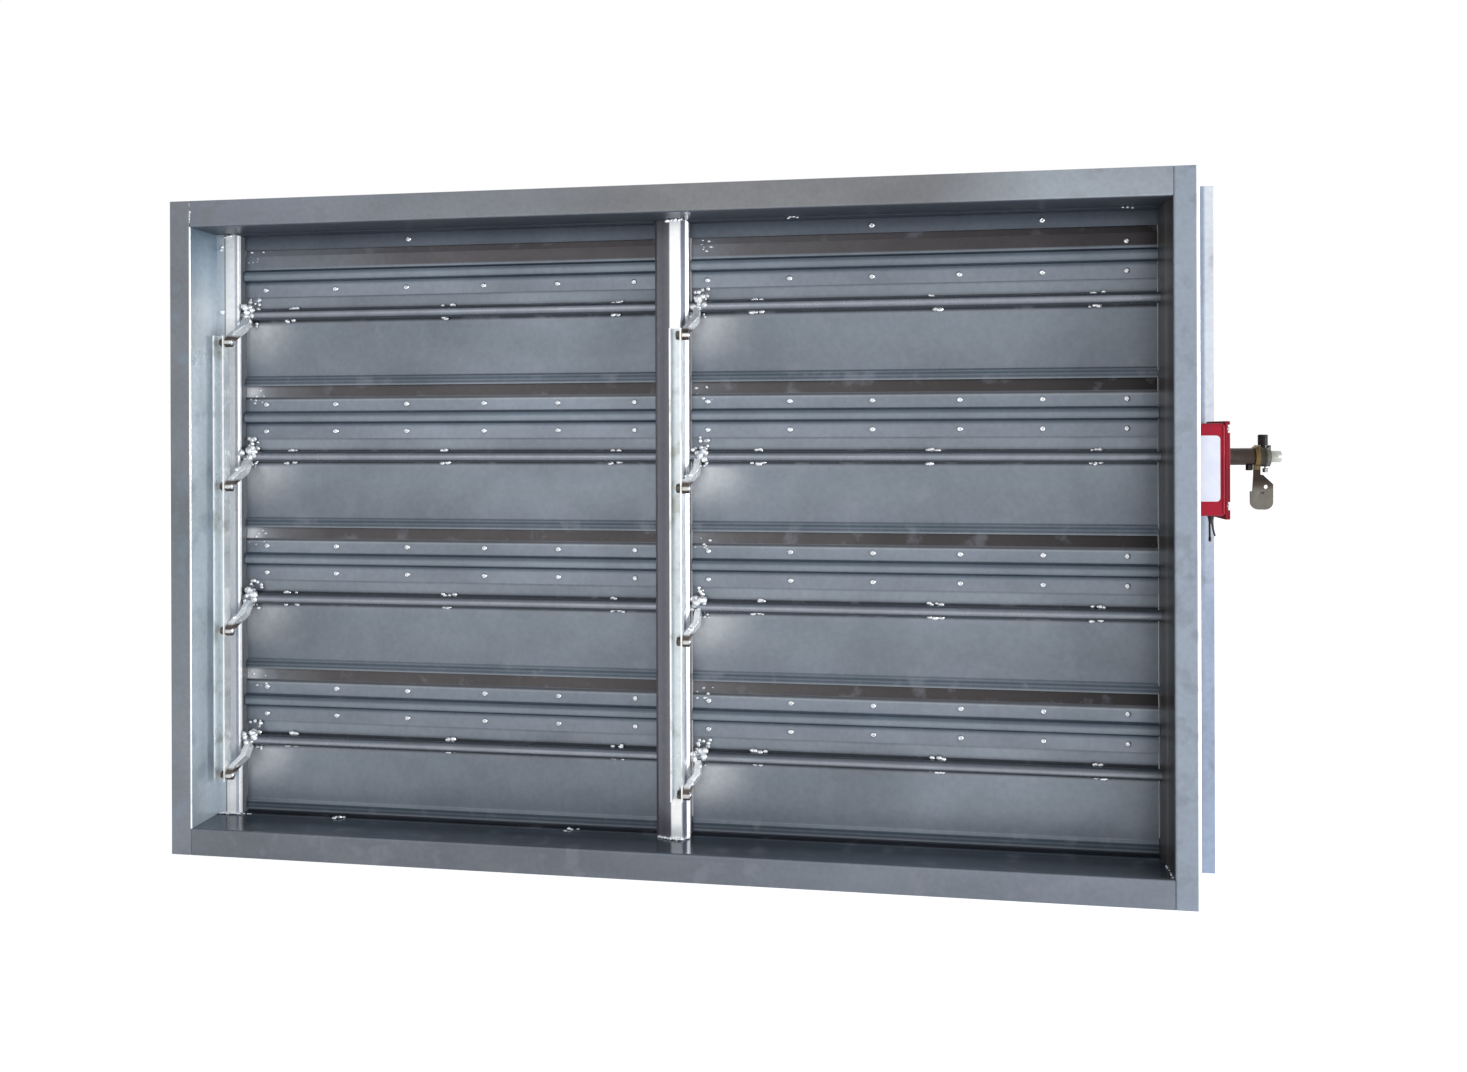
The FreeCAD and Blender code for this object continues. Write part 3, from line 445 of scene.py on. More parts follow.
# The bottom rail: a little lighter towards the drive side as painted light, its upper web darker under the
# blades as painted shade.
dress("bottom_rail", sheet_finish("bottom_rail_zinc", banded(
    "X", [(-625, (108, 113, 121)), (0, (112, 118, 127)), (625, (120, 127, 138))],
    ("Z", 33.1, 34.4, "Y", [(0, (104, 112, 122)), (12, (84, 92, 102)), (58, (66, 74, 84)),
                           (76, (52, 58, 68)), (120, (76, 84, 94))]),
), scale=6.0, stretch=(1, 1, 2.2), stain=((136, 140, 152), 0.35), polish=("Z", 33.6, 34.6, 0.16)))
# The stop strips: painted shade darkens their ends beside the rails.
STOP_ZINC = sheet_finish("stop_strip_zinc", banded("Z", [
    (35, (72, 79, 89)), (55, (112, 120, 130)), (60, (84, 92, 103)), (812, (84, 92, 103)),
    (818, (94, 102, 113)), (835, (70, 78, 90)),
]))
dress("top_stop_strip", STOP_ZINC)
dress("bottom_stop_strip", STOP_ZINC)


def lumps(centres, radii, seed):
    """Weld drops: spheres stretched by their three radii, each with its own low waves on its surface,
    radius times 1 + 0.16 sin(3 longitude + a) sin(2 latitude + b)."""
    centres = np.atleast_2d(np.array(centres, float))
    radii = np.broadcast_to(np.array(radii, float), centres.shape)
    draw = np.random.default_rng(seed)
    phase = draw.uniform(0, 2 * np.pi, (2, len(centres), 1, 1))
    rise = np.linspace(0, np.pi, 8)[None, :, None]
    turn = np.linspace(0, 2 * np.pi, 12, endpoint=False)[None, None, :]
    wave = 1 + 0.16 * np.sin(3 * turn + phase[0]) * np.sin(2 * rise + phase[1]) * np.sin(rise)
    ball = np.stack([
        wave * np.sin(rise) * np.cos(turn),
        wave * np.sin(rise) * np.sin(turn),
        wave * np.cos(rise) + 0 * turn,
    ], axis=-1)
    return (centres[:, None, None] + radii[:, None, None] * ball) * MM


# Weld metal: its near-white colour is partly bright metal and partly a painted highlight.
WELD = plain_finish("weld_metal", (245, 247, 250), (196, 201, 208), metallic=0.6, roughness=0.2,
                    scale=240.0, bump=0.3, rough_spread=0.2)


def bead(start, end, count, radii, seed, scatter=0.5):
    """A weld bead: drops in a row between two points, each a little off the line."""
    draw = np.random.default_rng(seed)
    share = np.linspace(0, 1, count)[:, None]
    line = np.array(start, float) * (1 - share) + np.array(end, float) * share
    line += draw.uniform(-scatter, scatter, line.shape)
    size = np.array(radii, float) * draw.uniform(0.75, 1.2, (count, 1))
    return lumps(line, size, seed + 1)


make_piece("frame_welds", [
    bead((-625, 1.2, 842), (-625, 1.2, 866), 8, (1.8, 1.1, 2.2), 11),
    bead((624, 6, 36), (624, 40, 36), 6, (1.2, 1.6, 1.2), 19, 0.8),
    bead((-456, 60, 35.6), (-444, 66, 35.6), 4, (2.4, 2.0, 1.4), 21, 1.5),
    bead((168, 55, 834.4), (180, 55, 834.4), 4, (2.4, 2.0, 1.6), 23, 1.2),
    bead((580, 55, 834.4), (590, 55, 834.4), 3, (2.0, 1.8, 1.4), 25, 1.2),
    bead((-130, 60, 35.6), (-116, 68, 35.6), 4, (2.4, 2.2, 1.4), 27, 1.5),
], "frame", WELD)


# The columns that carry the shaft ends: folded, faceted channels of polished zinc sheet, welded to the
# cross members at foot and head. Their front facets are painted almost white as painted highlights, and
# their side walls are painted darker where the blades meet them, as painted shade.
# Side walls along Y: painted shade, darkest where the blades meet them.
COLUMN_WALL = [(40, (122, 127, 135)), (66, (98, 102, 110)), (78, (104, 109, 117)), (95, (138, 145, 154))]
# The left column's front across X: white facets as painted highlights, with a painted shadow line at its
# corner by the jamb's web.
dress("left_stile", sheet_finish("stile_zinc", banded(
    "Y", COLUMN_WALL,
    ("Y", 66.2, 64.8, "X", [
        (-625, (190, 200, 209)), (-613.6, (204, 212, 219)), (-612.9, (96, 104, 114)),
        (-612.2, (96, 104, 114)), (-611.4, (252, 253, 254)), (-599, (252, 253, 254)),
        (-598.2, (196, 202, 216)), (-595.2, (186, 192, 208)), (-594.6, (250, 251, 253)),
        (-593, (250, 251, 253)),
    ]),
), metallic=0.15, roughness=0.3, cloud=0.05, scale=5.0, stretch=(4, 4, 1)))
# The centre mullion across X: white front facets as painted highlights between darker side facets; beside
# the link bar a painted shadow of the bar lies along it.
MULLION_BARE = [
    (-6, (96, 96, 104)), (-4, (112, 113, 120)), (6, (100, 101, 109)), (14.2, (116, 116, 124)),
    (16.4, (246, 248, 250)), (29.4, (250, 251, 252)), (30.4, (126, 132, 145)), (34.3, (120, 126, 140)),
    (34.9, (248, 249, 251)), (38, (248, 249, 251)),
]
MULLION_WITH_LINK_SHADOW = [
    (-6, (96, 96, 104)), (-4, (112, 113, 120)), (6, (100, 101, 109)), (14.2, (116, 116, 124)),
    (16.4, (246, 248, 250)), (28.6, (250, 251, 252)), (29.6, (52, 54, 60)), (31.2, (52, 54, 60)),
    (31.9, (178, 184, 196)), (34.3, (168, 174, 188)), (34.9, (248, 249, 251)), (38, (248, 249, 251)),
]
dress("centre_mullion", sheet_finish("mullion_zinc", banded(
    "X", MULLION_BARE,
    ("Z", 694, 690, "X", MULLION_WITH_LINK_SHADOW),
    ("Z", 92, 88, "X", MULLION_BARE),
    ("Y", 63, 65, "Y", COLUMN_WALL),
), roughness=0.3, cloud=0.05, scale=5.0, stretch=(4, 4, 1)))
make_piece("column_welds", [
    bead((-622, 57.8, 36.4), (-596, 58.6, 36.4), 11, (2.4, 2.2, 1.8), 31),
    bead((-592, 60, 36.2), (-580, 64, 35.8), 4, (2.0, 1.8, 1.2), 33, 1.4),
    bead((-612, 57.8, 831), (-604, 58.2, 833.6), 5, (2.4, 2.0, 2.4), 35),
    bead((-2, 53, 36.2), (14, 46.4, 36.4), 8, (2.4, 2.2, 1.8), 37),
    bead((14, 46.2, 36.4), (28, 46.2, 36.4), 7, (2.6, 2.2, 2.0), 39),
    bead((28, 46.4, 36.2), (37, 53, 36.2), 5, (2.2, 2.0, 1.6), 41),
    bead((12, 46.0, 833.6), (30, 46.2, 833.6), 8, (2.6, 2.4, 2.2), 43, 1.0),
    bead((-618, 58.4, 814), (-617, 58.4, 818), 2, (1.8, 1.8, 2.4), 45),
    bead((-616, 58.2, 727), (-615, 58.2, 729), 2, (2.8, 2.0, 2.8), 47),
], "frame", WELD)


# The blades: one sheet for each row of each bay, its lower lip joggled forward over the next blade's
# top band. The sheet is slightly wavy; the band carries a painted brown reflection, and the flat is cloudy
# grey with painted shade and highlights along its folds and beside the shaft.
AXIS_Y = 70
AXIS_Z = {1: 724.5, 2: 528.5, 3: 332.5, 4: 136.5}
BAY_START = {"left": -593, "right": 38}
BLADE_LENGTH = 585.4
BLADE_SHEET = 1.5
BLADE_WAVE = 0.45
END_GAP = 1
DRIVE_ROW = 2


def row_body(bay, row):
    """The body that a row's pieces ride on."""
    return "drive_row" if row == DRIVE_ROW else f"{bay}_row_{row}"


def smooth_step(value, low, high):
    """0 below low, 1 above high, and t t (3 - 2 t) between."""
    share = np.clip((value - low) / (high - low), 0, 1)
    return share * share * (3 - 2 * share)


def folded_sheet(name, bay, row, heights, depth_at, thickness, wave, material):
    """A folded sheet: its front is depth_at(height) carried along X, set back by slow waves, and its
    back is the front moved by the thickness along the profile's normal."""
    start = BAY_START[bay] + END_GAP
    along = np.linspace(start, start + BLADE_LENGTH, 49)[:, None]
    draw = np.random.default_rng(100 + row * 2 + (bay == "right"))
    first, second, third = draw.uniform(0, 2 * np.pi, 3)
    ease = np.sin(np.pi * (heights[None, :] - heights[0]) / (heights[-1] - heights[0]))
    slow = (1 + np.sin(along / 74 + first) * np.sin(heights / 41 + second)) / 2
    quick = (1 + np.sin(along / 31 + third)) / 2
    lag = wave * ease * (0.8 * slow + 0.2 * quick)
    depth = depth_at(heights)
    slope = np.gradient(depth, heights)
    size = np.sqrt(1 + slope ** 2)
    front = np.stack([along + 0 * lag, AXIS_Y + depth + lag, AXIS_Z[row] + heights + 0 * lag], -1)
    back = front + np.stack([0 * size, thickness / size, -thickness * slope / size], -1)
    ring = np.concatenate([front, back[:, ::-1]], axis=1)
    stations, around = ring.shape[:2]
    count = len(heights)
    low = np.arange(count - 1)
    cap = np.stack([low, low + 1, around - 2 - low, around - 1 - low], -1)
    last = (stations - 1) * around
    faces = np.concatenate([grid_faces(stations, around), cap, (cap + last)[:, ::-1]])
    mesh = bpy.data.meshes.new(name)
    mesh.from_pydata(ring.reshape(-1, 3) * MM, [], faces)
    up = mesh.attributes.new("height_up", "FLOAT", "POINT")
    up.data.foreach_set("value", np.tile(np.concatenate([heights, heights[::-1]]), stations) * MM)
    run = mesh.attributes.new("along", "FLOAT", "POINT")
    run.data.foreach_set("value", np.repeat(along[:, 0] - start, around) * MM)
    face = mesh.attributes.new("front_side", "FLOAT", "POINT")
    face.data.foreach_set("value", np.tile(np.repeat([1.0, 0.0], count), stations) * MM)
    shell = bmesh.new()
    shell.from_mesh(mesh)
    bmesh.ops.recalc_face_normals(shell, faces=shell.faces)
    shell.to_mesh(mesh)
    shell.free()
    mesh.shade_smooth()
    mesh.set_sharp_from_angle(angle=math.radians(50))
    return settle(bpy.data.objects.new(name, mesh), row_body(bay, row), material)


BLADE_HEIGHTS = np.concatenate([
    np.linspace(-98, -88, 5), np.linspace(-87.5, -83.5, 9), np.linspace(-78, 78, 20),
    np.linspace(81, 84, 4), np.linspace(88, 107, 6),
])


def blade_depth(height):
    """Front of the blade before the shaft's axis: 7 on the flat, 4.5 on the lip, rising to 9 at the top."""
    joggle = 2.5 * (1 - smooth_step(height, -87.2, -83.8))
    band = 2 * np.clip((height - 82) / 25, 0, 1)
    return 7 - joggle + band


# The front's greys by height: painted shade in the lip's joggle, in the nook above and below the shaft and
# under the stiffener's lower edge, and a painted highlight along the lip's lower edge.
BLADE_PROFILE = [
    (-98, (134, 142, 150)), (-96.4, (112, 121, 131)), (-94.6, (68, 78, 90)), (-93.4, (84, 93, 105)),
    (-92, (106, 114, 125)), (-90.4, (64, 77, 89)), (-88.6, (72, 84, 96)), (-86.6, (112, 121, 132)),
    (-83, (116, 124, 135)), (-50, (120, 128, 138)), (-18, (123, 132, 142)), (-12, (130, 137, 147)),
    (-10.4, (100, 107, 117)), (-8.6, (44, 51, 60)), (-6, (86, 93, 102)), (6, (86, 93, 102)),
    (8.6, (50, 56, 64)), (10, (112, 119, 129)), (13, (128, 136, 146)),
    (22, (128, 136, 146)), (24, (112, 120, 131)), (26, (120, 128, 139)), (107, (116, 122, 132)),
]
# The band's colour along X: a painted brown reflection, whitened near the left column as a painted
# highlight and darker towards the drive side as painted shade.
BLADE_BAND_REFLECTION = [
    (-592, (232, 234, 237)), (-578, (204, 206, 210)), (-566, (132, 135, 142)), (-545, (106, 107, 112)),
    (-469, (80, 77, 79)), (-7, (73, 69, 71)), (39, (122, 124, 130)), (60, (98, 98, 102)),
    (101, (84, 82, 83)), (300, (66, 62, 63)), (450, (58, 54, 55)), (600, (38, 35, 37)),
    (624, (32, 30, 32)),
]
# The top row's band: the same painted reflection, greyer near the left end.
TOP_ROW_BAND_REFLECTION = [
    (-592, (118, 125, 135)), (-450, (110, 113, 120)), (-360, (86, 84, 88)), (-7, (76, 73, 76)),
    (39, (104, 108, 116)), (110, (92, 91, 95)), (300, (76, 73, 76)), (600, (54, 51, 54)),
    (624, (44, 42, 44)),
]
BLADE_SHADOW = [(-592, (84, 86, 92)), (-469, (72, 72, 76)), (39, (76, 77, 81)), (624, (34, 33, 35))]
# A painted pale patch of light on each blade beside its crank's root.
CRANK_SIDE_LIGHT_PATCH = (206, 209, 213)
BLADE_BACK = (118, 126, 136)


def blade_paint(tree):
    """The front's greys by height with painted shade and highlights, its band painted as a brown reflection
    with a painted shadow under the lip, and a painted patch of light beside the crank. The back is plain."""
    colour = banded("height_up", BLADE_PROFILE,
                    ("height_up", 81.5, 83.5, "X", BLADE_BAND_REFLECTION),
                    ("Z", 805, 807, "X", TOP_ROW_BAND_REFLECTION),
                    ("height_up", 93, 101, "X", BLADE_SHADOW))(tree)
    light_patch = add_node(tree, "ShaderNodeMath", {
        0: step_mask(tree, "along", 96, -20), 1: step_mask(tree, "height_up", -84, -14),
    }, operation="MULTIPLY")
    light_patch = add_node(tree, "ShaderNodeMath", {
        0: light_patch.outputs["Value"], 1: step_mask(tree, "height_up", -11, -16),
    }, operation="MULTIPLY")
    colour = mix_colours(tree, light_patch.outputs["Value"], colour, srgb(*CRANK_SIDE_LIGHT_PATCH))
    return mix_colours(tree, step_mask(tree, "front_side", 0.4, 0.6), srgb(*BLADE_BACK), colour)


BLADE_ZINC = sheet_finish("blade_zinc", blade_paint, roughness=0.42, cloud=0.16, scale=5.0,
                          stretch=(1, 1, 1.4), stain=((134, 140, 150), 0.3))


# The hat stiffeners: a thin strip folded to a ridge, laid on the upper part of each blade's front and
# held by two lines of blind rivets with bright domed heads. Painted shade darkens the ridge's slopes and
# edges, and painted highlights run along the crest and the top edge.
STIFFENER_SHEET = 1.2
STIFFENER_WAVE = 0.15
STIFFENER_FACE = 5.8
STIFFENER_HEIGHTS = np.concatenate([
    np.linspace(25, 43.5, 6), np.linspace(44.5, 48.8, 9), np.linspace(50, 58, 5),
    np.linspace(59.2, 63.5, 9), np.linspace(64.5, 82, 6),
])


def stiffener_depth(height):
    """Front of the strip: 5.8 on its flanges and 0 on the ridge, with rounded bends between."""
    ridge = smooth_step(height, 45, 48.4) * (1 - smooth_step(height, 59.6, 63))
    return STIFFENER_FACE * (1 - ridge)


# The strip's greys by height: painted shade on the ridge's slopes and its edges, painted highlights on the
# crest and just under the top edge; the top row carries the band's painted reflection.
STIFFENER_ZINC = sheet_finish("stiffener_zinc", banded(
    "height_up", [
        (25, (113, 121, 132)), (26, (124, 132, 143)), (40, (126, 134, 145)), (42, (110, 120, 132)),
        (44, (80, 91, 104)), (46, (76, 87, 100)), (48, (98, 108, 120)), (50.5, (122, 132, 142)),
        (54, (124, 134, 144)), (56, (102, 112, 124)), (58, (78, 90, 103)), (60, (76, 88, 101)),
        (62, (90, 101, 114)), (64, (122, 131, 142)), (76, (124, 133, 144)), (78, (142, 149, 157)),
        (80, (76, 80, 86)), (82, (72, 76, 82)),
    ],
    ("Z", 789, 792, "X", TOP_ROW_BAND_REFLECTION),
), roughness=0.36, cloud=0.13, scale=6.0, stretch=(1, 1, 2))

RIVET_LINES = (35, 72)
RIVET_SPOTS = {"left": (-562, -459, -356, -246, -143, -38), "right": (60, 168, 274, 384, 486, 588)}
RIVET_PROFILE = [
    (0, 0.7), (0.9, 0.7), (1.2, 1.8), (1.6, 2.0), (2.4, 1.8), (3.2, 1.3), (3.7, 0.6), (3.9, 0),
    (3.8, -0.3), (0, -0.3),
]
RIVET_STEEL = plain_finish("rivet_steel", (226, 230, 235), (180, 184, 190), metallic=0.9,
                           roughness=0.14, scale=300.0, bump=0.05)


def rivet_heads(spots, face_y, heights):
    """Blind rivet heads, turned to the front, at every spot along X and every height."""
    head = aimed(turned(RIVET_PROFILE, 16), (0, -1, 0), (0, 0, 0))
    across, up = np.meshgrid(spots, heights)
    centres = np.stack([across.ravel(), np.full(across.size, face_y), up.ravel()], -1)
    return head[None] + centres[:, None, None] * MM


for bay in BAY_START:
    for row, axis_z in AXIS_Z.items():
        body = row_body(bay, row)
        blade = folded_sheet(f"{bay}_blade_sheet_{row}", bay, row, BLADE_HEIGHTS, blade_depth,
                             BLADE_SHEET, BLADE_WAVE, BLADE_ZINC)
        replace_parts(blade, f"{bay}_blade_{row}")
        strip = folded_sheet(f"{bay}_stiffener_strip_{row}", bay, row, STIFFENER_HEIGHTS,
                             stiffener_depth, STIFFENER_SHEET, STIFFENER_WAVE, STIFFENER_ZINC)
        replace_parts(strip, f"{bay}_stiffener_{row}")
        lines = RIVET_LINES[:1] if row == 1 else RIVET_LINES
        face_y = AXIS_Y + STIFFENER_FACE
        heads = [rivet_heads(RIVET_SPOTS[bay], face_y, [axis_z + line for line in lines])]
        if row == 1 and bay == "right":
            heads.append(rivet_heads(RIVET_SPOTS[bay][-1:], face_y, [axis_z + RIVET_LINES[1]]))
        make_piece(f"{bay}_rivets_{row}", heads, body, RIVET_STEEL)
make_piece("stop_strip_rivets", rivet_heads((-352, 274, 486), AXIS_Y + 4.5, (825,)), "frame",
           RIVET_STEEL)


# The shafts: drawn steel rods, zinc plated, tacked to their blades above and below with short clusters
# of weld drops that shine in the painted shade of the nook between rod and blade.
# The rod's greys by height about its axis: a painted highlight along its middle and painted shade above and
# below it.
ROD_GREYS = [
    (-10, (84, 91, 100)), (-7, (86, 93, 102)), (-5.5, (92, 99, 108)), (-4, (112, 118, 128)),
    (-2, (134, 140, 150)), (0, (148, 154, 164)), (2, (122, 129, 139)), (4, (96, 102, 112)),
    (6, (90, 96, 107)), (8, (98, 106, 116)), (10, (98, 106, 116)),
]
ROD_STEEL = sheet_finish("rod_steel", banded("row_height", ROD_GREYS), roughness=0.3, cloud=0.1, scale=20.0)
for bay in BAY_START:
    for row in AXIS_Z:
        if row != DRIVE_ROW:
            dress(f"{bay}_shaft_{row}", ROD_STEEL)
dress("drive_shaft", sheet_finish("drive_shaft_steel", banded(
    "row_height", ROD_GREYS,
    ("X", 730, 734, "X", [(734, (146, 148, 138)), (752, (150, 152, 140)), (765, (196, 200, 196))]),
), roughness=0.3, cloud=0.1, scale=20.0))
TACK_SPOTS = {"left": (-524, -296, -62), "right": (126, 353, 552)}
TACK_DROPS = 4


def tack_clusters(bay, row):
    """Drops in the nook between the rod and the blade, a few at each tack, above and below the rod."""
    draw = np.random.default_rng(300 + row * 2 + (bay == "right"))
    spots = np.repeat(TACK_SPOTS[bay], 2 * TACK_DROPS) + draw.uniform(-9, 9, 6 * TACK_DROPS)
    side = np.tile(np.repeat([1, -1], TACK_DROPS), 3)
    up = side * draw.uniform(7.2, 9.4, spots.size)
    depth = AXIS_Y + draw.uniform(3.2, 5.0, spots.size)
    size = draw.uniform(1.6, 3.3, (spots.size, 1)) * np.array([1.3, 0.8, 0.95])
    return lumps(np.stack([spots, depth, AXIS_Z[row] + up], -1), size, 400 + row)


for bay in BAY_START:
    for row in AXIS_Z:
        make_piece(f"{bay}_tack_welds_{row}", tack_clusters(bay, row), row_body(bay, row), WELD)


# The cranks: flat steel bars welded to the shafts beside the columns, joggled sideways to the pins of
# the link bars. The weld runs over the bar's root and the blade, rough and bright, with spatter.
def soften(node, name, width, material, body, segments=2):
    """A copy of a CAD node, its triangles merged into flat faces, with its edges bevelled."""
    source = bmesh.new()
    source.from_mesh(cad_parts[node].data)
    bmesh.ops.remove_doubles(source, verts=source.verts, dist=1e-6)
    bmesh.ops.dissolve_limit(source, angle_limit=math.radians(1), verts=source.verts, edges=source.edges)
    mesh = bpy.data.meshes.new(name)
    source.to_mesh(mesh)
    source.free()
    mesh.shade_smooth()
    mesh.set_sharp_from_angle(angle=math.radians(30))
    piece = settle(bpy.data.objects.new(name, mesh), body, material)
    edge = piece.modifiers.new("softened_edges", "BEVEL")
    edge.width = width * MM
    edge.segments = segments
    edge.limit_method = "ANGLE"
    edge.angle_limit = math.radians(30)
    edge.use_clamp_overlap = True
    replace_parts(piece, node)
    return piece


# The crank's colours by height: brown towards its lower end, a painted highlight in a narrow band at the
# pin's height, and pale steel above.
CRANK_STEEL = sheet_finish("crank_steel", banded("row_height", [
    (-50, (96, 84, 76)), (-46, (84, 72, 66)), (-43, (92, 80, 74)), (-41.5, (212, 212, 210)),
    (-38.5, (212, 212, 210)), (-37, (92, 80, 74)), (-33, (96, 86, 80)), (-30, (224, 228, 232)),
    (20, (230, 233, 237)),
]), metallic=0.6, roughness=0.26, cloud=0.16, scale=70.0)
PIN_Y = 38
PIN_DROP = 40


def crank_weld(bay, row):
    """Drops heaped round the crank's root: over the shaft, up the blade and down the bar."""
    x, z = BAY_START[bay], AXIS_Z[row]
    draw = np.random.default_rng(500 + row * 2 + (bay == "right"))
    over = np.array([x + 12, 64, z + 4]) + draw.uniform(-1, 1, (11, 3)) * [9, 3, 8]
    up = np.array([x + 15, 74.5, z + 16]) + draw.uniform(-1, 1, (9, 3)) * [10, 1.2, 9]
    down = np.array([x + 15, 74.5, z - 11]) + draw.uniform(-1, 1, (5, 3)) * [9, 1.2, 4]
    share = np.linspace(0, 1, 9)[:, None]
    bar = np.array([x + 10.5, 63, z - 8]) * (1 - share) + np.array([x + 3, 45, z - 28]) * share
    bar += draw.uniform(-1, 1, bar.shape) * [3.2, 3.4, 3]
    return [
        lumps(over, draw.uniform(2.6, 5.0, (11, 1)) * [1, 0.9, 1], 600 + row),
        lumps(up, draw.uniform(1.6, 3.6, (9, 1)) * [1, 0.8, 1], 620 + row),
        lumps(down, draw.uniform(1.2, 2.4, (5, 1)) * [1, 0.8, 1], 640 + row),
        lumps(bar, draw.uniform(1.8, 3.2, (9, 1)) * [1, 1, 1.2], 660 + row),
    ]


def band_spatter(bay, row):
    """Small drops on the near end of the blade's band and flange, beside the column."""
    draw = np.random.default_rng(700 + row * 2 + (bay == "right"))
    x = BAY_START[bay] + 4 + draw.uniform(0, 26, 7)
    up = draw.uniform(72, 93, 7)
    centres = np.stack([x, AXIS_Y + np.where(up > 82, 7.2, 5.6), AXIS_Z[row] + up], -1)
    return lumps(centres, draw.uniform(0.7, 2.0, (7, 1)) * [1.2, 0.6, 0.9], 720 + row)


for bay, bay_x in BAY_START.items():
    for row, axis_z in AXIS_Z.items():
        body = row_body(bay, row)
        soften(f"{bay}_crank_{row}", f"{bay}_crank_bar_{row}", 0.8, CRANK_STEEL, body)
        make_piece(f"{bay}_crank_weld_{row}", crank_weld(bay, row) + [band_spatter(bay, row)], body,
                   WELD)
        head = turned([(0, 2.4), (2.2, 2.2), (3.6, 1.4), (4.2, 0.4), (4.2, 0), (0, 0)], 24)
        make_piece(f"{bay}_pin_head_{row}",
                   aimed(head, (1, 0, 0), (bay_x + 4, PIN_Y, axis_z - PIN_DROP)), body,
                   RIVET_STEEL)


# The link bars: channels of bright zinc sheet, open to the front, that join the four cranks of a bay.
# Hexagon nuts hold the pins inside them, dark with oil, which has run down and stained the sheet olive.
# The link's colours through its depth: its front edges painted white as painted highlights.
LINK_ZINC = sheet_finish("link_zinc", banded("Y", [
    (31.5, (252, 253, 253)), (32.2, (252, 253, 253)), (33.2, (228, 234, 238)), (43, (222, 230, 234)),
    (45.5, (214, 223, 228)),
]), roughness=0.3, cloud=0.1, scale=12.0, stretch=(1, 1, 0.3), stain=((140, 140, 118), 0.45))
NUT_STEEL = plain_finish("oiled_nut", (92, 86, 74), (58, 54, 48), metallic=0.7, roughness=0.3,
                         scale=200.0, bump=0.2)


def hexagon_shape(angle, height):
    """Scale of a six-sided section: the flats lie at 1, a corner at 1 over the cosine of 30 degrees."""
    return np.broadcast_to(1 / np.cos((angle % (np.pi / 3)) - np.pi / 6), (len(height), len(angle)))


for bay, bay_x in BAY_START.items():
    bar = soften(f"{bay}_link_bar", f"{bay}_link_channel", 0.35, LINK_ZINC, f"{bay}_link")
    nut = turned([(0, 0), (4.3, 0), (4.95, 0.7), (4.95, 5.2), (4.3, 5.8), (2.9, 5.8), (2.7, 5.2),
                  (0, 5.2)], 48, hexagon_shape)
    nuts = [aimed(nut, (-1, 0, 0), (bay_x - 6.6, PIN_Y, z - PIN_DROP)) for z in AXIS_Z.values()]
    make_piece(f"{bay}_link_nuts", nuts, f"{bay}_link", NUT_STEEL)


# The drive unit: a mounting plate on the jamb, a red moulded box with a blank pale label on its front
# side, and a red cover over its outer end, which stands proud at top and bottom. The cover is painted a
# darker red than the box, as painted shade.
RED_SHELL = plain_finish("red_shell", (164, 14, 44), (142, 10, 38), roughness=0.4, scale=24.0, bump=0.1)
# The cover: the box's red, painted darker as painted shade.
RED_COVER_SHADED = plain_finish("red_cover_shaded", (134, 8, 34), (106, 4, 24), roughness=0.4, scale=24.0, bump=0.1)
for red in (RED_SHELL, RED_COVER_SHADED):
    red.node_tree.nodes["Principled BSDF"].inputs["Specular IOR Level"].default_value = 0.25
PLATE_ZINC = plain_finish("plate_zinc", (150, 157, 165), (128, 134, 142), metallic=0.6, roughness=0.4,
                          scale=30.0)
dress("actuator_base", PLATE_ZINC)
soften("actuator_casing", "drive_casing", 1.0, RED_SHELL, "frame", 3)
soften("actuator_cover", "drive_cover", 0.8, RED_COVER_SHADED, "frame", 3)


def rounded_slab(low, high, corner, steps=6):
    """Rings of a plate with round corners in X and Z between two corners of a box, closed at the
    middle of its two faces and softened along the rim."""
    (x0, y0, z0), (x1, y1, z1) = low, high
    quarter = np.linspace(0, np.pi / 2, steps)
    angle = np.concatenate([quarter + turn * np.pi / 2 for turn in range(4)])
    middle = np.repeat([(x1, z1), (x0, z1), (x0, z0), (x1, z0)], steps, axis=0).astype(float)
    inward = np.repeat([(-1, -1), (1, -1), (1, 1), (-1, 1)], steps, axis=0)
    rim = 0.12
    rings = []
    centre = np.array([(x0 + x1) / 2, (z0 + z1) / 2])
    for y, inset, radius in ((y1, None, 0), (y1, 0, corner), (y0 + rim, 0, corner),
                             (y0, rim, corner - rim), (y0, None, 0)):
        if inset is None:
            flat = np.broadcast_to(centre, middle.shape)
        else:
            turn = np.stack([np.cos(angle), np.sin(angle)], -1)
            flat = middle + inward * (inset + radius) + radius * turn
        rings.append(np.stack([flat[:, 0], np.full(len(flat), y), flat[:, 1]], -1))
    return np.stack(rings) * MM


LABEL_PAPER = plain_finish("label_paper", (226, 230, 244), (214, 220, 238), roughness=0.3, scale=40.0,
                           bump=0.02)
make_piece("blank_label", rounded_slab((634, 29.6, 476), (684.5, 30.2, 554.5), 4.5), "frame",
           LABEL_PAPER)
make_piece("cover_rim", [
    rounded_slab((687.4, 29.4, 462), (689.0, 30.4, 566), 0.8),
], "frame", RED_SHELL)

BLACK_STEEL = plain_finish("black_steel", (30, 29, 30), (46, 44, 45), metallic=0.5, roughness=0.34,
                           scale=300.0)
SCREW_STEEL = plain_finish("screw_steel", (196, 200, 204), (150, 154, 160), metallic=0.85,
                           roughness=0.22, scale=300.0)
COVER_FACE_X = 696
COVER_SCREWS = [(y, z) for y in (33.2, 104.8) for z in (562.5, 470.5)]


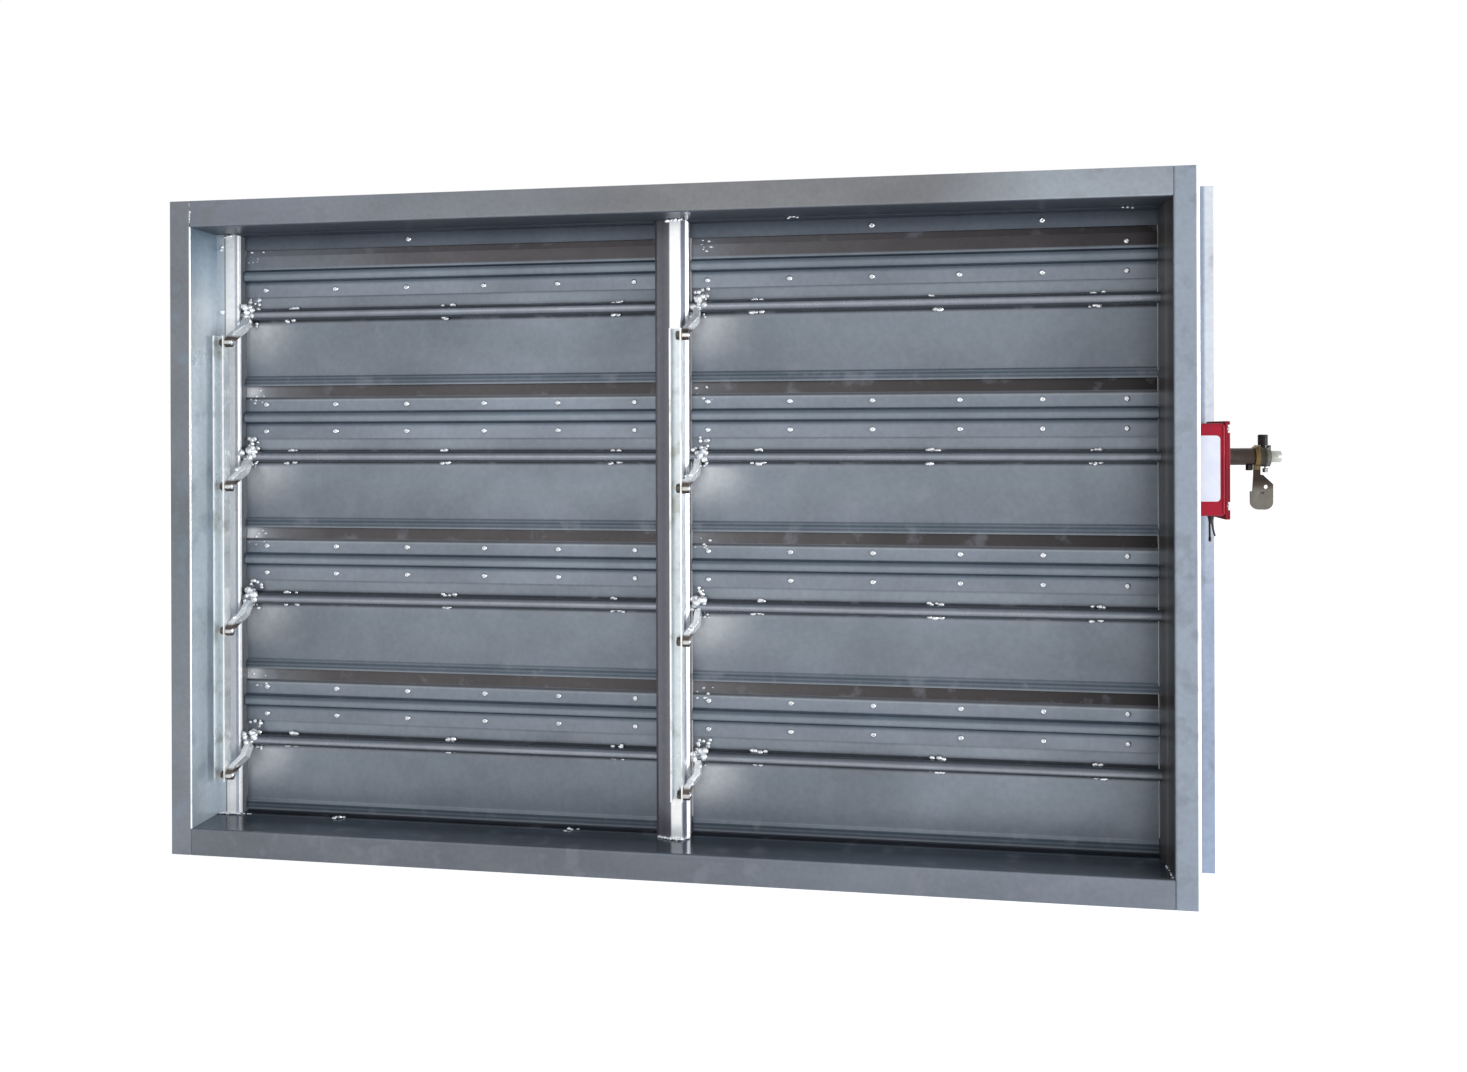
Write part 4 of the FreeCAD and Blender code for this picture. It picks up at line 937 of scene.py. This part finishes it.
def socket_screw(radius, height, origin):
    """A pan head with a round socket, turned to the drive side."""
    rim = [(0, height * 0.5), (radius * 0.42, height * 0.5), (radius * 0.46, height),
           (radius * 0.7, height), (radius * 0.94, height * 0.8), (radius, height * 0.5), (radius, 0),
           (0, 0)]
    return aimed(turned(rim, 24), (1, 0, 0), origin)


make_piece("cover_screws", [
    socket_screw(2.6, 2.4, (COVER_FACE_X - 3, y, z)) for y, z in COVER_SCREWS
], "frame", SCREW_STEEL)
make_piece("cover_plug", [
    socket_screw(3.4, 1.8, (COVER_FACE_X, 58, 489.8)),
    socket_screw(2.6, 2.6, (COVER_FACE_X, 62, 543)),
], "frame", BLACK_STEEL)


# The output sleeve, its screw, the clamp hub and the hand lever outside the cover: blackened and
# brass-coloured steel, worn bright on the edges, with a knurled black socket screw on the hub's crown.
OXIDE = sheet_finish("brown_oxide", banded("X", [
    (627, (48, 40, 36)), (700, (52, 44, 39)), (718, (60, 50, 44)), (734, (54, 44, 36)),
]), metallic=0.6, roughness=0.36, cloud=0.25, scale=60.0, stain=((96, 91, 88), 0.5))
HUB_BRASS = sheet_finish("hub_brass", banded("X", [
    (734, (98, 80, 50)), (738.5, (104, 86, 54)), (740, (62, 57, 50)), (746, (48, 45, 42)),
    (748, (104, 106, 98)), (752, (96, 98, 92)),
]), metallic=0.7, roughness=0.3, cloud=0.2, scale=90.0, stain=((44, 38, 33), 0.6))
LEVER_STEEL = sheet_finish("lever_steel", banded("Z", [
    (464, (108, 105, 99)), (488, (106, 102, 96)), (494, (70, 60, 54)), (500, (44, 34, 30)),
    (512.5, (46, 36, 31)),
]), metallic=0.6, roughness=0.36, cloud=0.14, scale=50.0)
soften("output_sleeve", "drive_sleeve", 0.6, OXIDE, "drive_row")
soften("sleeve_set_screw", "sleeve_screw_head", 0.5, BLACK_STEEL, "drive_row")
soften("lever_hub", "clamp_hub", 0.6, HUB_BRASS, "drive_row")
soften("lever_handle", "hand_lever", 0.5, LEVER_STEEL, "drive_row")
soften("lever_bolt", "clamp_bolt", 0.35, SCREW_STEEL, "drive_row")

KNURL_TEETH = 30
SCREW_X = 745
SCREW_SEAT = 539.5


def knurl_shape(angle, height):
    """Radius scale of the cap: fine teeth up its side, a hexagon inside the socket, round elsewhere."""
    teeth = 1 + 0.035 * np.sign(np.sin(KNURL_TEETH * angle))
    kind = np.array([0, 0, 0, 0, 1, 1, 0, 0, 2, 2, 2])[:, None]
    return np.select([kind == 1, kind == 2], [teeth[None], hexagon_shape(angle, height)], 1.0)


cap = turned([
    (0, 0), (2.5, 0), (2.5, 3), (5.1, 3), (5.4, 3.6), (5.4, 14.9), (5.0, 15.7), (4.2, 15.9),
    (2.5, 15.9), (2.5, 11.9), (0, 11.9),
], 4 * KNURL_TEETH, knurl_shape) + np.array([SCREW_X, AXIS_Y, SCREW_SEAT]) * MM
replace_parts(make_piece("knurled_screw", cap, "drive_row", BLACK_STEEL, sharp=20),
            "lever_clamp_screw")


# The studio: a pale floor under the damper, a white surround, a broad soft lamp from the drive side and
# a fill from the front. The floor keeps a faint shadow.
def seen_rays(tree):
    """The light path's outputs in a tree, and 1 for a ray of the camera or of a reflection."""
    rays = add_node(tree, "ShaderNodeLightPath").outputs
    seen = add_node(tree, "ShaderNodeMath", {0: rays["Is Camera Ray"], 1: rays["Is Glossy Ray"]},
                    operation="MAXIMUM")
    return rays, seen.outputs["Value"]


floor_mesh = bpy.data.meshes.new("studio_floor")
floor_mesh.from_pydata([(-30, -30, 0), (30, -30, 0), (30, 30, 0), (-30, 30, 0)], [], [(0, 1, 2, 3)])
floor = bpy.data.objects.new("studio_floor", floor_mesh)
bpy.context.scene.collection.objects.link(floor)
floor_paint, tree, shader = start_material("pale_floor")
shader.inputs["Base Color"].default_value = (0.85, 0.85, 0.85, 1)
shader.inputs["Roughness"].default_value = 0.9
shader.inputs["Specular IOR Level"].default_value = 0.0
rays, seen = seen_rays(tree)
glow = add_node(tree, "ShaderNodeMath", {0: seen, 1: 0.62}, operation="MULTIPLY")
shader.inputs["Emission Color"].default_value = (1, 1, 1, 1)
tree.links.new(glow.outputs["Value"], shader.inputs["Emission Strength"])
floor_mesh.materials.append(floor_paint)

world = bpy.data.worlds.new("studio_surround")
bpy.context.scene.world = world
world.use_nodes = True
tree = world.node_tree
surround = tree.nodes["Background"]
rays, seen = seen_rays(tree)
clear = add_node(tree, "ShaderNodeMath", {0: seen, 1: rays["Is Transmission Ray"]},
                 operation="MAXIMUM")
strength = add_node(tree, "ShaderNodeMapRange", {"Value": clear.outputs["Value"], "To Min": 0.6,
                                                 "To Max": 1.0})
surround.inputs["Color"].default_value = (1, 1, 1, 1)
tree.links.new(strength.outputs["Result"], surround.inputs["Strength"])


def soft_lamp(name, place, aim, size, power):
    """A square area lamp that looks from one place to another."""
    light = bpy.data.lights.new(name, "AREA")
    light.shape = "SQUARE"
    light.size = size
    light.energy = power
    lamp = bpy.data.objects.new(name, light)
    lamp.location = place
    lamp.rotation_euler = (Vector(aim) - Vector(place)).to_track_quat("-Z", "Y").to_euler()
    bpy.context.scene.collection.objects.link(lamp)


soft_lamp("drive_side_lamp", (3.0, -0.95, 0.4), (-0.3, 0.05, 0.35), 1.6, 95)
soft_lamp("front_fill", (-0.8, -3.0, 0.5), (0, 0.05, 0.3), 1.6, 7)
